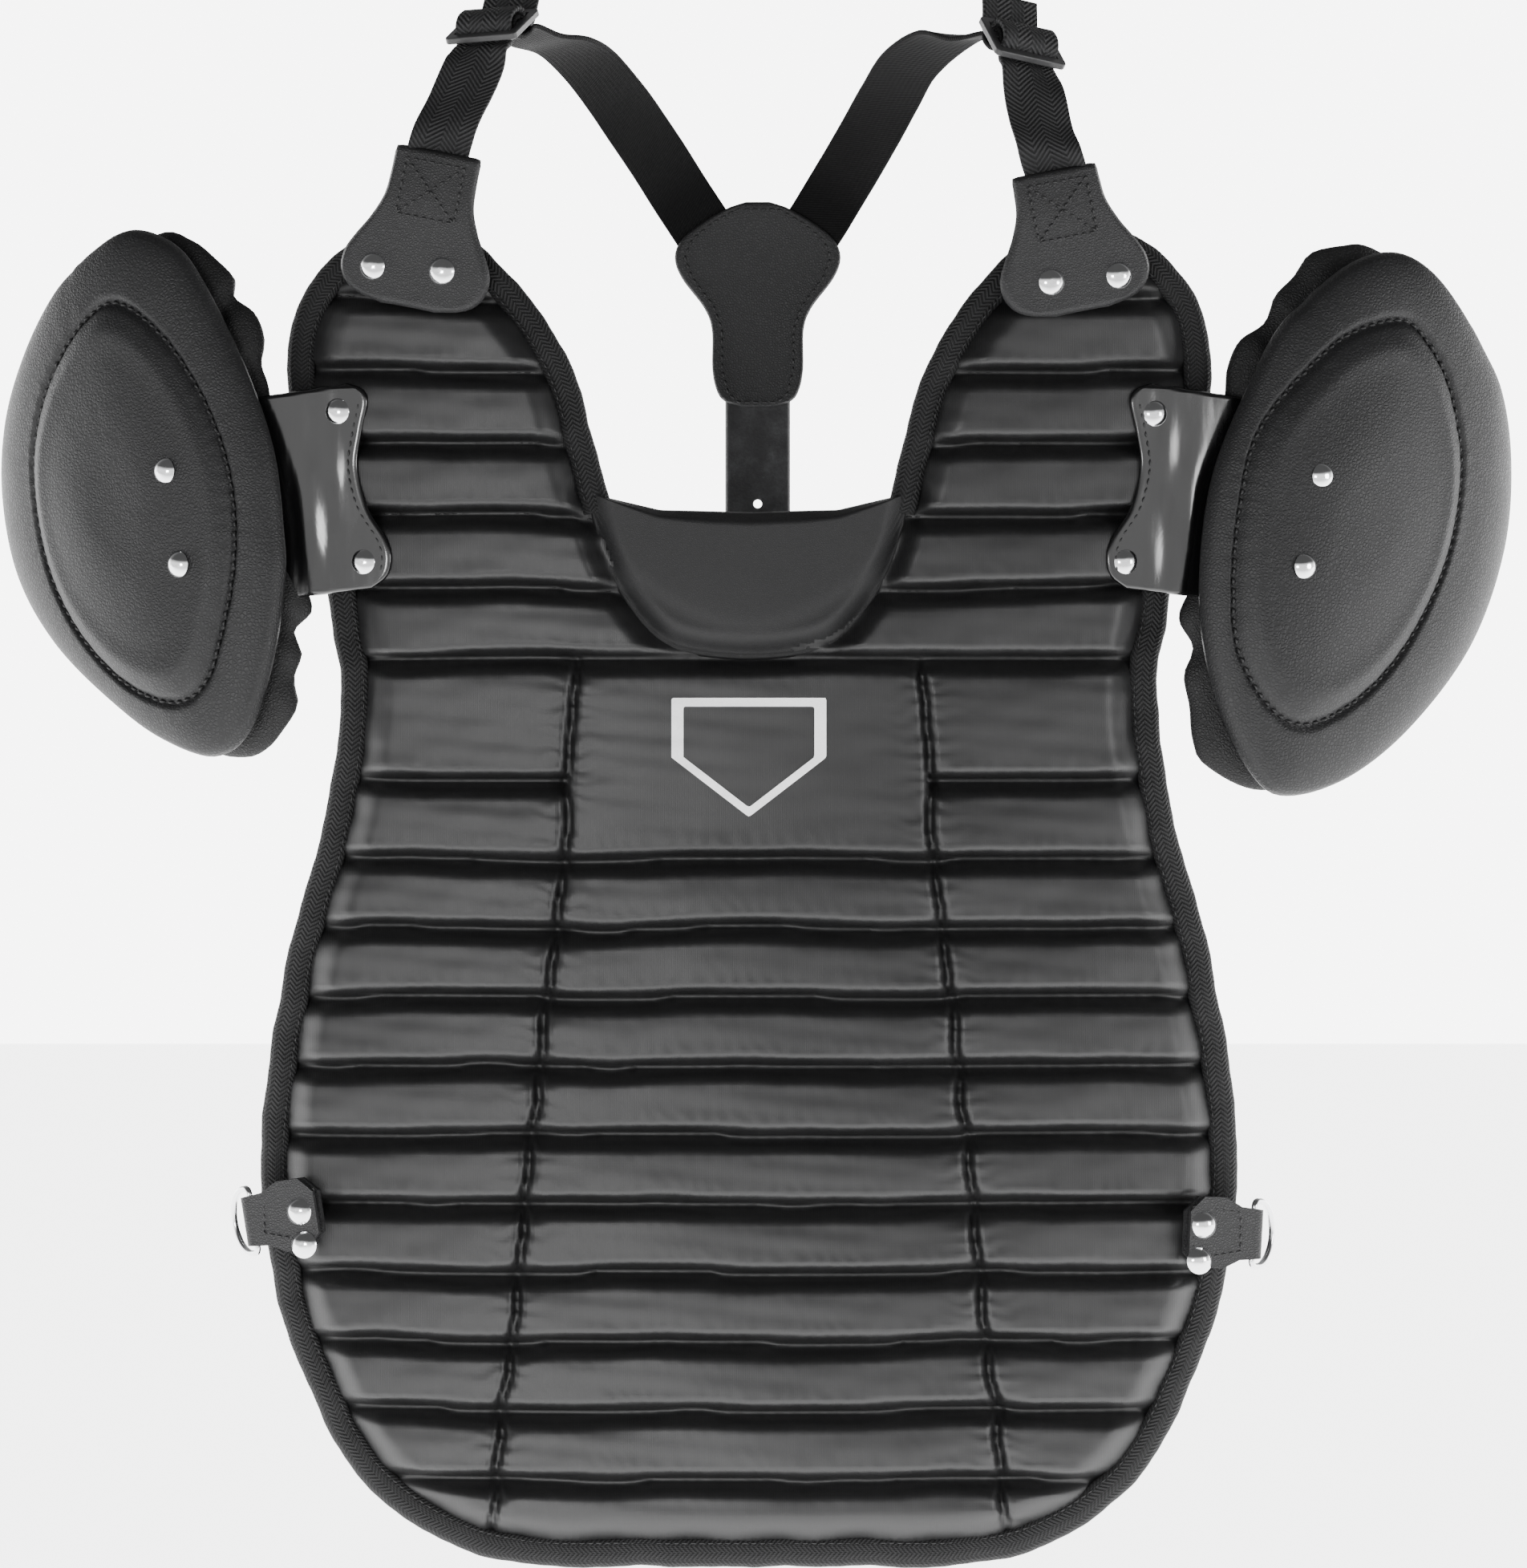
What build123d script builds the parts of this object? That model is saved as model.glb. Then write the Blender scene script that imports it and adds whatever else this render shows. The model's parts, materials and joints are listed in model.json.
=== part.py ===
"""Padded chest protector: a quilted panel, two hinged shoulder caps and a strap harness.

The origin is on the middle of the panel's back face. +Z is up, the front faces -Y and the wearer
stands on the +Y side. All sizes are in millimetres.
"""

from build123d import *
from math import cos, radians, sin, sqrt
import os

# Chest panel: layers on a cylinder about a vertical axis behind the wearer's side
BACK_RADIUS = 400
LINING = 0.8
FOAM_INNER, FOAM_OUTER = 401.1, 413.0
COVER_INNER, COVER_OUTER = 413.3, 414.1
BINDING_OUTER = 408.5
BINDING_WIDTH = 9.5
ON_PANEL = 414.4
PANEL_REACH = 60
ROW_SEAM = 2.4
CHEST_TOP = 75.6
SHOULDER_PITCH, SHOULDER_ROWS = 24.2, 6
CHEST_PITCH, CHEST_ROWS, CHEST_FIRST = 23.2, 10, 8.1

# Leather tabs, webbing and elastic
LEATHER = 1.6
TAB_THICKNESS = 3.0
STRAP_WIDTH = 21
WEBBING, ELASTIC = 1.8, 1.6
BUCKLE_LENGTH, BUCKLE_WIDTH, BUCKLE_BAR, BUCKLE_THICKNESS = 22, 27, 3.0, 2.4
BACK_STRAP_WIDTH, BACK_STRAP_THICKNESS = 20.5, 2.4
YOKE_Y = 116
HOLE_PITCH, HOLE_RADIUS = 18.6, 1.5

# Shoulder caps and their flaps
CAP_RADIUS = 150
CAP_HALF_WIDTH, CAP_HALF_LENGTH = 61, 91.5
DOME_HALF_WIDTH, DOME_HALF_LENGTH, DOME_HEIGHT = 44, 68, 12
PLATE = 2.0
COVER = 1.2
PAD_THICKNESS, PAD_SET_BACK = 15, 7
FLAP = 1.6
RIVET_RADIUS, RIVET_SHANK = 4.6, 1.9

# D-rings
RING_WIRE = 1.1
RING_BAR, RING_DEPTH, RING_TURN = 22, 15, 40

# Direction of each side along X
SIDES = {"left": -1, "right": 1}

os.makedirs("parts", exist_ok=True)


def save(builder, label):
    builder.part.label = label
    export_step(builder.part, "parts/" + label + ".step")


def panel_y(x, radius):
    """Depth of a point on the panel's layer of this radius."""
    return BACK_RADIUS - sqrt(radius**2 - x**2)


def curved_layer(plane, bend_radius, inner, outer, half_length):
    """A tube about an axis that lies bend_radius along the plane's Y axis."""
    with BuildPart() as layer:
        with BuildSketch(plane):
            with Locations((0, bend_radius)):
                Circle(outer)
                Circle(inner, mode=Mode.SUBTRACT)
        extrude(amount=half_length, both=True)
    return layer.part


def panel_layer(inner, outer):
    return curved_layer(Plane.XY, BACK_RADIUS, inner, outer, 300)


# Panel outlines, drawn from the front
EDGE = [
    (0, -230), (40, -230), (75, -229.5), (104.6, -221.4), (132.8, -200), (150.4, -167), (161, -135),
    (165.4, -88), (156.5, -27), (144.7, 16), (138, 59.4), (141.6, 92), (151, 137), (156.5, 173),
    (150.3, 199.8), (134, 216), (113, 222), (92, 215), (76.7, 199.8), (60, 174), (48, 132),
]


def panel_outline(inset):
    """The panel's outline, with its outer edge and neck edge moved inward."""
    points = [Vector(*p) for p in EDGE]
    moved = []
    for i, point in enumerate(points):
        along = (points[min(i + 1, len(points) - 1)] - points[max(i - 1, 0)]).normalized()
        moved.append(point + Vector(-along.Y, along.X) * inset)
    with BuildSketch(Plane.XZ) as sketch:
        with BuildLine():
            Spline(*[(p.X, p.Y) for p in moved], tangents=((1, 0), (-0.2, -1)))
            Polyline((moved[-1].X, moved[-1].Y), (30, 125), (0, 124))
            mirror(about=Plane.YZ)
        make_face()
    return sketch


outline = panel_outline(0)
cover_edge = panel_outline(BINDING_WIDTH)
binding_edge = panel_outline(BINDING_WIDTH - 0.4)
foam_edge = panel_outline(BINDING_WIDTH + 0.6)

with BuildSketch(Plane.XZ) as collar_outline:
    with BuildLine():
        Spline((0, 77), (20, 79), (31, 84), (41, 96), (49, 112), (54, 131), tangents=((1, 0), (0.3, 1)))
        Polyline((54, 131), (30, 125), (0, 124))
        mirror(about=Plane.YZ)
    make_face()

with BuildSketch(Plane.XZ) as wide_collar:
    with Locations((0, -1.2)):
        add(collar_outline.sketch_local)
    with Locations((1.2, 0), (-1.2, 0), (0, 1.2)):
        add(collar_outline.sketch_local)

with BuildSketch(Plane.XZ) as inside:
    add(foam_edge.sketch_local)
    add(wide_collar.sketch_local, mode=Mode.SUBTRACT)


def panel_piece(sketch, inner, outer):
    """A flat outline wrapped on the panel between two radii."""
    layer = panel_layer(inner, outer)
    with BuildPart() as piece:
        extrude(sketch, amount=PANEL_REACH, both=True)
        add(layer, mode=Mode.INTERSECT)
    return piece


save(panel_piece(outline.sketch, BACK_RADIUS, BACK_RADIUS + LINING), "back_lining")

with BuildSketch(Plane.XZ) as cover_outline:
    add(cover_edge.sketch_local)
    add(wide_collar.sketch_local, mode=Mode.SUBTRACT)
save(panel_piece(cover_outline.sketch, COVER_INNER, COVER_OUTER), "front_cover")

with BuildSketch(Plane.XZ) as binding_outline:
    add(outline.sketch_local)
    add(binding_edge.sketch_local, mode=Mode.SUBTRACT)
    add(wide_collar.sketch_local, mode=Mode.SUBTRACT)
save(panel_piece(binding_outline.sketch, BACK_RADIUS + LINING + 0.2, BINDING_OUTER), "edge_binding")

save(panel_piece(collar_outline.sketch, FOAM_INNER, COVER_INNER), "collar_insert")

# Foam bars between the stitched rows
shoulder_rows = [CHEST_TOP + SHOULDER_PITCH * k for k in range(SHOULDER_ROWS)]
chest_rows = [CHEST_TOP, 34.8] + [CHEST_FIRST - CHEST_PITCH * k for k in range(CHEST_ROWS)]
centre_rows = [CHEST_TOP] + chest_rows[2:]
seam_side = [(58.2, 75.6), (62.1, 8.1), (70.5, -62.6), (77.4, -132), (82.8, -177), (88, -240)]


def mirrored(points):
    return [(-x, z) for x, z in points]


def foam(label, region, rows):
    with BuildSketch(Plane.XZ) as bars:
        add(inside.sketch_local)
        with BuildSketch(Plane.XZ, mode=Mode.INTERSECT):
            with BuildLine():
                Polyline(*region, close=True)
            make_face()
        with Locations([(0, z) for z in rows]):
            Rectangle(400, ROW_SEAM, mode=Mode.SUBTRACT)
    save(panel_piece(bars.sketch, FOAM_INNER, FOAM_OUTER), label)


GAP = 1.3
right_column = [(x + GAP, z) for x, z in seam_side] + [(200, -240), (200, 75.6)]
centre_half = [(x - GAP, z) for x, z in seam_side]
shoulder_region = [(0, 75.6), (200, 75.6), (200, 240), (0, 240)]
foam("centre_foam", centre_half + mirrored(centre_half)[::-1], centre_rows)
foam("right_side_foam", right_column, chest_rows)
foam("left_side_foam", mirrored(right_column), chest_rows)
foam("right_shoulder_foam", shoulder_region, shoulder_rows)
foam("left_shoulder_foam", mirrored(shoulder_region), shoulder_rows)

# Printed mark: a plain home-plate outline
MARK_WIDTH, MARK_HEIGHT, MARK_LINE, MARK_Z = 52, 40, 4, 42
with BuildSketch(Plane.XZ) as mark_outline:
    with BuildLine():
        half, top = MARK_WIDTH / 2, MARK_Z + MARK_HEIGHT / 2
        Polyline((-half, top), (half, top), (half, MARK_Z), (0, top - MARK_HEIGHT), (-half, MARK_Z),
                 close=True)
    make_face()
    offset(amount=-MARK_LINE, mode=Mode.SUBTRACT)
save(panel_piece(mark_outline.sketch, COVER_OUTER + 0.1, COVER_OUTER + 0.3), "printed_mark")


def front_plane(x, z, radius):
    """A plane on the panel's front, its Z axis pointing outward and its Y axis up."""
    angle = x / radius
    return Plane(origin=(x, panel_y(x, radius), z), x_dir=(cos(angle), sin(angle), 0),
                 z_dir=(sin(angle), -cos(angle), 0))


def rivet(plane, depth):
    """A domed cap with a shank and a flat back cap, along the plane's Z axis."""
    with BuildSketch(Plane(origin=plane.origin, x_dir=plane.x_dir, z_dir=-plane.y_dir)) as profile:
        with BuildLine():
            ThreePointArc((0, 2.3), (RIVET_RADIUS * 0.6, 1.7), (RIVET_RADIUS, 0))
            Polyline((RIVET_RADIUS, 0), (RIVET_SHANK, 0), (RIVET_SHANK, -depth), (RIVET_RADIUS, -depth),
                     (RIVET_RADIUS, -depth - 0.8), (0, -depth - 0.8), (0, 2.3))
        make_face()
    revolve(profile.sketch, axis=Axis(plane.origin, plane.z_dir))


# Shoulder tabs: a bell-shaped leather tab over each lobe, and its rivets
TABS = {
    "left": {"foot": (-115, 195), "lean": 11.5, "height": 51,
             "rivets": [(-126.9, 207.6), (-103.4, 205.7)]},
    "right": {"foot": (112.3, 193.6), "lean": -11.5, "height": 46,
              "rivets": [(101.8, 202), (124.7, 204.4)]},
}
for side, tab in TABS.items():
    foot = Plane(origin=(tab["foot"][0], 0, tab["foot"][1]), x_dir=(1, 0, 0), z_dir=(0, -1, 0))
    foot = foot.rotated((0, 0, -tab["lean"]))
    with BuildSketch(foot) as tab_outline:
        with BuildLine():
            Line((0, 0), (10, 0))
            Spline((10, 0), (20, 2.5), (24.5, 12), (18, 27), (13.6, 38), tangents=((1, 0), (0, 1)))
            Polyline((13.6, 38), (13.5, tab["height"]), (0, tab["height"]))
            mirror(about=Plane.YZ)
        make_face()
    save(panel_piece(tab_outline.sketch, ON_PANEL, ON_PANEL + TAB_THICKNESS), side + "_shoulder_tab")

panel_depth = ON_PANEL + TAB_THICKNESS - BACK_RADIUS
with BuildPart() as shoulder_tab_rivets:
    for tab in TABS.values():
        for x, z in tab["rivets"]:
            rivet(front_plane(x, z, ON_PANEL + TAB_THICKNESS), panel_depth)
save(shoulder_tab_rivets, "shoulder_tab_rivets")

# Side tabs: leather folded round the straight bar of a D-ring
SIDE_TABS = {
    "left": {"bar": (-167.6, -114.5), "lean": -9, "rivets": [(-151.7, -111), (-150.1, -122.3)]},
    "right": {"bar": (170.5, -119), "lean": 3, "rivets": [(153.6, -115.6), (152, -127.7)]},
}
LOOP_INNER = RING_WIRE + 0.35
LOOP_OUTER = LOOP_INNER + LEATHER
LOOP_CENTRE = ON_PANEL + LOOP_OUTER + 0.4
SIDE_TAB_LENGTH, SIDE_TAB_NECK, SIDE_TAB_FOOT = 25, 16, 24
SIDE_RIVET_SEAT = LOOP_CENTRE + LOOP_OUTER + 0.3


def side_plane(side, tab):
    """Origin on the ring's bar, X towards the panel's middle, Z up the bar."""
    x, z = tab["bar"]
    sign = SIDES[side]
    angle = x / LOOP_CENTRE
    lean = radians(tab["lean"])
    up = Vector(sin(lean), 0, cos(lean))
    inward = Vector(-sign * cos(angle), -sign * sin(angle), 0)
    inward = inward - up * inward.dot(up)
    return Plane(origin=(x, panel_y(x, LOOP_CENTRE), z), x_dir=inward, z_dir=up)


for side, tab in SIDE_TABS.items():
    plane = side_plane(side, tab)
    upright = Plane(origin=plane.origin, x_dir=plane.x_dir, z_dir=plane.y_dir)
    with BuildPart() as side_tab:
        with BuildSketch(plane):
            Circle(LOOP_OUTER)
            for face in (-1, 1):
                with Locations((SIDE_TAB_LENGTH / 2, face * (LOOP_OUTER - LEATHER / 2))):
                    Rectangle(SIDE_TAB_LENGTH, LEATHER)
            Circle(LOOP_INNER, mode=Mode.SUBTRACT)
            with Locations((3, 0)):
                Rectangle(4, 2 * LOOP_INNER, mode=Mode.SUBTRACT)
        extrude(amount=SIDE_TAB_FOOT / 2, both=True)
        with BuildSketch(upright):
            with BuildLine():
                Polyline((-5, -8), (6, -9), (12, -12), (20, -12), (SIDE_TAB_LENGTH, -7),
                         (SIDE_TAB_LENGTH, 7), (20, 12), (12, 12), (6, 9), (-5, 8), close=True)
            make_face()
        extrude(amount=10, both=True, mode=Mode.INTERSECT)
    save(side_tab, side + "_side_tab")

    outward = (-plane.x_dir).rotate(Axis((0, 0, 0), plane.z_dir), SIDES[side] * RING_TURN)
    ring_plane = Plane(origin=plane.origin, x_dir=plane.z_dir, z_dir=plane.z_dir.cross(outward))
    half = RING_BAR / 2
    with BuildPart() as d_ring:
        with BuildLine(ring_plane) as ring_path:
            FilletPolyline((-half, 4), (-half, 0), (half, 0), (half, 4), radius=2)
            ThreePointArc((half, 4), (0, RING_DEPTH), (-half, 4))
        wire = ring_path.wires()[0]
        with BuildSketch(Plane(origin=wire @ 0, z_dir=wire % 0)):
            Circle(RING_WIRE)
        sweep(path=wire)
    save(d_ring, side + "_d_ring")

with BuildPart() as side_tab_rivets:
    for tab in SIDE_TABS.values():
        for x, z in tab["rivets"]:
            rivet(front_plane(x, z, SIDE_RIVET_SEAT), SIDE_RIVET_SEAT - BACK_RADIUS)
save(side_tab_rivets, "side_tab_rivets")


# Shoulder caps
CAPS = {
    "left": {"centre": (-213, 37, 131), "yaw": 38, "lean": 12},
    "right": {"centre": (211, 30, 120.7), "yaw": 32, "lean": 13},
}
# Hinge line of each flap: a lower and an upper point, on the panel's front
HINGES = {
    "left": ((-146, 10.4, 92), (-160, 15.9, 167)),
    "right": ((146, 10.4, 92), (160.5, 16, 167)),
}
FLAP_RIVETS = {"left": [(-138.8, 158.8), (-129.9, 108)], "right": [(136.9, 158), (126.9, 108)]}
CAP_RIVETS = {"left": [(-197.6, 138.8), (-192.8, 107.2)], "right": [(193.9, 136.9), (187.7, 106.4)]}
HINGE_GAP = 1.2
FLAP_SLOPE = 24.5


def cap_plane(side):
    """Origin on the plate's crown, Z outward, Y up the cap's long axis."""
    cap, sign = CAPS[side], SIDES[side]
    yaw, lean = radians(cap["yaw"]), radians(cap["lean"])
    across = Vector(cos(yaw) * cos(lean), sign * sin(yaw) * cos(lean), -sign * sin(lean))
    return Plane(origin=cap["centre"], x_dir=across, z_dir=(sign * sin(yaw), -cos(yaw), 0))


def cap_layer(plane, low, high):
    """A layer of the cap between two heights over the plate's front face."""
    across = Plane(origin=plane.origin, x_dir=plane.x_dir, z_dir=plane.y_dir)
    return curved_layer(across, CAP_RADIUS, CAP_RADIUS + low, CAP_RADIUS + high, 130)


def cap_piece(plane, half_width, half_length, low, high, shift=0):
    layer = cap_layer(plane, low, high)
    with BuildPart() as piece:
        with BuildSketch(plane.offset(-60)):
            with Locations((shift, 0)):
                Ellipse(half_width, half_length)
        extrude(amount=100)
        add(layer, mode=Mode.INTERSECT)
    return piece


def dome(plane, grow):
    """The raised middle of the cap, with sloping sides."""
    layer = cap_layer(plane, 0.3, DOME_HEIGHT + grow)
    with BuildPart() as piece:
        with BuildSketch(plane.offset(-12)):
            Ellipse(DOME_HALF_WIDTH + grow, DOME_HALF_LENGTH + grow)
        extrude(amount=40, taper=18)
        add(layer, mode=Mode.INTERSECT)
    return piece


def dome_point(plane, x, z):
    """The place on the dome's cover at this x and z, and its height over the plate's crown."""
    across, up, radius = plane.x_dir, plane.y_dir, CAP_RADIUS + DOME_HEIGHT + COVER + 0.3
    height = DOME_HEIGHT
    for _ in range(5):
        base = plane.origin + plane.z_dir * height
        dx, dz = x - base.X, z - base.Z
        scale = across.X * up.Z - up.X * across.Z
        u = (dx * up.Z - dz * up.X) / scale
        v = (dz * across.X - dx * across.Z) / scale
        height = sqrt(radius**2 - u**2) - CAP_RADIUS
    return base + across * u + up * v, height


FLAP_INNER = [(-168, 163), (-136, 167), (-131, 165), (-129.3, 156), (-132.6, 138), (-129.3, 123),
              (-122.6, 111), (-121.5, 105), (-123, 101), (-128, 99.5), (-168, 94.5)]
FLAP_OUTER = [(-140, 165.8), (-168, 163), (-207, 153), (-203, 93), (-140, 97)]



def flap_part(side, points, kept, cut):
    """One half of the flap, cut off at its bending line: kept is -1 on the panel's side, 1 on the cap's."""
    sign = SIDES[side]
    low, high = (Vector(*p) for p in HINGES[side])
    past = (high - low).normalized() * 60
    bend = [(p.X + kept * sign * HINGE_GAP, p.Z) for p in (low - past, high + past)]
    far = [(x + kept * sign * 150, z) for x, z in bend[::-1]]
    with BuildPart() as piece:
        with BuildSketch(Plane.XZ):
            with BuildLine():
                Polyline(*[(x * -sign, z) for x, z in points], close=True)
            make_face()
            fillet([v for v in vertices() if abs(v.X) < 140], 1.5)
            with BuildLine():
                Polyline(*bend, *far, close=True)
            make_face(mode=Mode.INTERSECT)
        extrude(amount=PANEL_REACH, both=True)
        add(cut, mode=Mode.INTERSECT)
    return piece


for side, sign in SIDES.items():
    plane = cap_plane(side)
    low, high = (Vector(*p) for p in HINGES[side])
    hinge_up = (high - low).normalized()
    slope = radians(FLAP_SLOPE)
    outward = Vector(sign * cos(slope), sin(slope), 0)
    flap_plane = Plane(origin=(low + high) / 2, x_dir=hinge_up, z_dir=outward.cross(hinge_up) * sign)
    sheet = Box(300, 300, FLAP).moved(flap_plane.location)

    save(flap_part(side, FLAP_INNER, -1, panel_layer(ON_PANEL, ON_PANEL + FLAP)), side + "_flap_inner")
    save(flap_part(side, FLAP_OUTER, 1, sheet), side + "_flap_outer")

    save(cap_piece(plane, CAP_HALF_WIDTH, CAP_HALF_LENGTH, -PLATE, 0), side + "_cap_plate")
    save(dome(plane, 0), side + "_dome_foam")

    flange = cap_piece(plane, CAP_HALF_WIDTH, CAP_HALF_LENGTH, 0.3, 0.3 + COVER)
    raised, hollow = dome(plane, COVER + 0.3), dome(plane, 0.3)
    with BuildPart() as cover:
        add(flange.part)
        add(raised.part)
        add(hollow.part, mode=Mode.SUBTRACT)
    save(cover, side + "_cap_cover")

    backing = cap_piece(plane, CAP_HALF_WIDTH - PAD_SET_BACK, CAP_HALF_LENGTH, -PLATE - PAD_THICKNESS,
                        -PLATE - 0.3, sign * PAD_SET_BACK)
    with BuildPart() as pad:
        add(backing.part)
        with Locations(flap_plane.location):
            with Locations((0, 0, -0.2)):
                Box(92, 150, FLAP + 1.4, mode=Mode.SUBTRACT)
    save(pad, side + "_cap_pad")

    with BuildPart() as cap_rivets:
        for x, z in CAP_RIVETS[side]:
            seat, height = dome_point(plane, x, z)
            rivet(Plane(origin=seat, x_dir=plane.x_dir, z_dir=plane.z_dir), height + 8)
    save(cap_rivets, side + "_cap_rivets")

with BuildPart() as flap_rivets:
    for spots in FLAP_RIVETS.values():
        for x, z in spots:
            rivet(front_plane(x, z, ON_PANEL + FLAP), ON_PANEL + FLAP - BACK_RADIUS)
save(flap_rivets, "flap_rivets")


# Harness
def strap(stations, thickness, width=STRAP_WIDTH):
    """A flat strap through stations, each a point and the direction of its width."""
    points = [Vector(*p) for p, _ in stations]
    with BuildPart() as piece:
        for i, (point, (_, across)) in enumerate(zip(points, stations)):
            before, after = points[max(i - 1, 0)], points[min(i + 1, len(points) - 1)]
            along = (after - before).normalized()
            across = Vector(*across)
            across = (across - along * across.dot(along)).normalized()
            with BuildSketch(Plane(origin=point, x_dir=across, z_dir=along)):
                Rectangle(width, thickness)
        loft(ruled=True)
    return piece


BUCKLES = {
    "left": {"front": (-90.6, 19, 285.5), "along": (0.38, 0.81, 0.44), "across": (0.88, -0.45, 0.04)},
    "right": {"front": (95.1, 18, 278.5), "along": (-0.27, 0.77, 0.58), "across": (0.9, 0.45, -0.18)},
}
WEBBING_RUN = {
    "left": [(-104.6, -1.5, 248), (-101.6, 3, 255), (-97.2, 9, 265.5), (-93, 14, 275.5)],
    "right": [(103, -1.5, 242), (101, 1.5, 247), (98.4, 6.5, 256), (96.4, 11.5, 266)],
}
ELASTIC_RUN = {
    "left": [(-72.5, 50, 286.5), (-63, 62, 285), (-55, 76, 279.6), (-46.1, 90, 269.3), (-38.5, 101, 258.8),
             (-31.1, 110, 248.1), (-24.2, 116, 237.3), (-17.9, 116, 227.7), (-12.5, 116, 219.5)],
    "right": [(76.6, 48, 287.5), (65.9, 61, 287), (55, 76, 279.6), (48.4, 90, 269.3), (42.4, 101, 258.8),
              (36.1, 110, 248.1), (29.5, 116, 237.3), (23.7, 116, 227.7), (18.3, 116, 219.5)],
}
STEP = BUCKLE_LENGTH / 2 - BUCKLE_BAR / 2
# Both straps in the buckle's own plane: distance behind its front bar, and height over it
WEBBING_LOOP = [(-3.5, -3.2), (0.6, -3.1), (2.9, -1.2), (3.4, 2.6), (6.2, 4.9), (STEP, 5.2), (13, 4.5),
                (15.6, 1.6), (16, -0.8), (17.8, -3.1), (20.5, -2.9), (25, 0.5), (31, 4.5)]
ELASTIC_LOOP = [(STEP + 2.9, -0.8), (STEP + 2.7, 1.4), (STEP, 2.7), (STEP - 2.8, 1.5), (STEP - 2.9, -1.8),
                (STEP, -4.4), (STEP + 6, -5.6), (STEP + 12, -5.8)]

for side, buckle in BUCKLES.items():
    sign = SIDES[side]
    front, along = Vector(*buckle["front"]), Vector(*buckle["along"]).normalized()
    across = Vector(*buckle["across"])
    across = (across - along * across.dot(along)).normalized()
    over = across.cross(along)
    over = over if over.Z > 0 else -over

    with BuildPart() as buckle_part:
        corner = front + along * STEP - over * BUCKLE_THICKNESS / 2
        with BuildSketch(Plane(origin=corner, x_dir=along, z_dir=over)):
            RectangleRounded(BUCKLE_LENGTH, BUCKLE_WIDTH, 2)
            with Locations((-STEP / 2, 0), (STEP / 2, 0)):
                Rectangle(STEP - BUCKLE_BAR, BUCKLE_WIDTH - 5, mode=Mode.SUBTRACT)
        extrude(amount=BUCKLE_THICKNESS)
        fillet(buckle_part.edges().filter_by(GeomType.CIRCLE), 0.5)
    save(buckle_part, side + "_buckle")

    loop = [(front + along * reach + over * height, across) for reach, height in WEBBING_LOOP]
    run = [(p, (1, 0, -0.22 * sign)) for p in WEBBING_RUN[side]]
    save(strap(run + loop, WEBBING), side + "_webbing")

    loop = [(front + along * reach + over * height, across) for reach, height in ELASTIC_LOOP]
    directions = [(0.86, 0.45 * sign, 0.1), (0.85, 0.45 * sign, -0.2 * sign), (0.85, 0.4 * sign, -0.4 * sign),
                  (0.85, 0.25 * sign, -0.5 * sign)] + [(0.85, 0, -0.53 * sign)] * 5
    run = list(zip(ELASTIC_RUN[side], directions))
    save(strap(loop + run, ELASTIC), side + "_elastic")

# Yoke patch: two leather layers with the elastics and the back strap between them
PATCH_X, PATCH_GAP = 2.9, 1.4
with BuildSketch(Plane.XZ) as yoke_outline:
    with BuildLine():
        Spline((0, 164), (11, 166), (15, 176), (15.4, 192), (27, 210), (27.5, 218), (14, 230), (0, 233.5),
               tangents=((1, 0), (-1, 0)))
        mirror(about=Plane.YZ)
    make_face()


def save_patches(name, sketch):
    """Two leather layers with a gap for the strap between them."""
    for label, start in (("_front", -PATCH_GAP - LEATHER), ("_back", PATCH_GAP)):
        with BuildPart() as patch:
            with BuildSketch(Plane.XZ.offset(-YOKE_Y - start).move(Location((PATCH_X, 0, 0)))):
                add(sketch)
            extrude(amount=-LEATHER)
        save(patch, name + label)


save_patches("yoke_patch", yoke_outline.sketch_local)

# Back strap with its punched holes, and what hangs from it behind the panel
STRAP_TOP, STRAP_END, FIRST_HOLE, HOLES = 163, -40, 129.9, 7
with BuildPart() as back_strap:
    with BuildSketch(Plane.XZ.offset(-YOKE_Y - BACK_STRAP_THICKNESS / 2)):
        with Locations((PATCH_X, (STRAP_TOP + STRAP_END) / 2)):
            Rectangle(BACK_STRAP_WIDTH, STRAP_TOP - STRAP_END)
        with Locations([(PATCH_X, FIRST_HOLE - HOLE_PITCH * k) for k in range(HOLES)]):
            Circle(HOLE_RADIUS, mode=Mode.SUBTRACT)
    extrude(amount=BACK_STRAP_THICKNESS)
save(back_strap, "back_strap")

LOWER_TOP, LOWER_END = -22, -72
with BuildSketch(Plane.XZ) as lower_outline:
    with BuildLine():
        Polyline((-13, LOWER_TOP), (13, LOWER_TOP), (27, LOWER_END + 8), (18, LOWER_END),
                 (-18, LOWER_END), (-27, LOWER_END + 8), close=True)
    make_face()
    fillet(vertices(), 3)
save_patches("lower_patch", lower_outline.sketch_local)

# Waist tails folded through flat hooks: the fold as depth and height over the hook's bar
TAIL_TOP, TAIL_END, TAIL_WIDTH = -48, -190, 20
TAIL_START, TAIL_REACH = 11.5, 25.5
FOLD = [(0, 18), (-2.2, 5), (-2.9, -0.6), (-1.6, -3), (1.6, -3), (2.9, -0.6), (2.3, 5), (2.1, 14)]
HOOK, HOOK_THICKNESS = (25, 17), 2.4
for side, sign in SIDES.items():
    top, foot = PATCH_X + sign * TAIL_START, PATCH_X + sign * TAIL_REACH
    points = [(top, YOKE_Y, TAIL_TOP), ((top + foot) / 2, YOKE_Y, (TAIL_TOP + TAIL_END) / 2)]
    points += [(foot, YOKE_Y + depth, TAIL_END + height) for depth, height in FOLD]
    save(strap([(p, (1, 0, 0)) for p in points], ELASTIC, TAIL_WIDTH), side + "_waist_tail")

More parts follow.
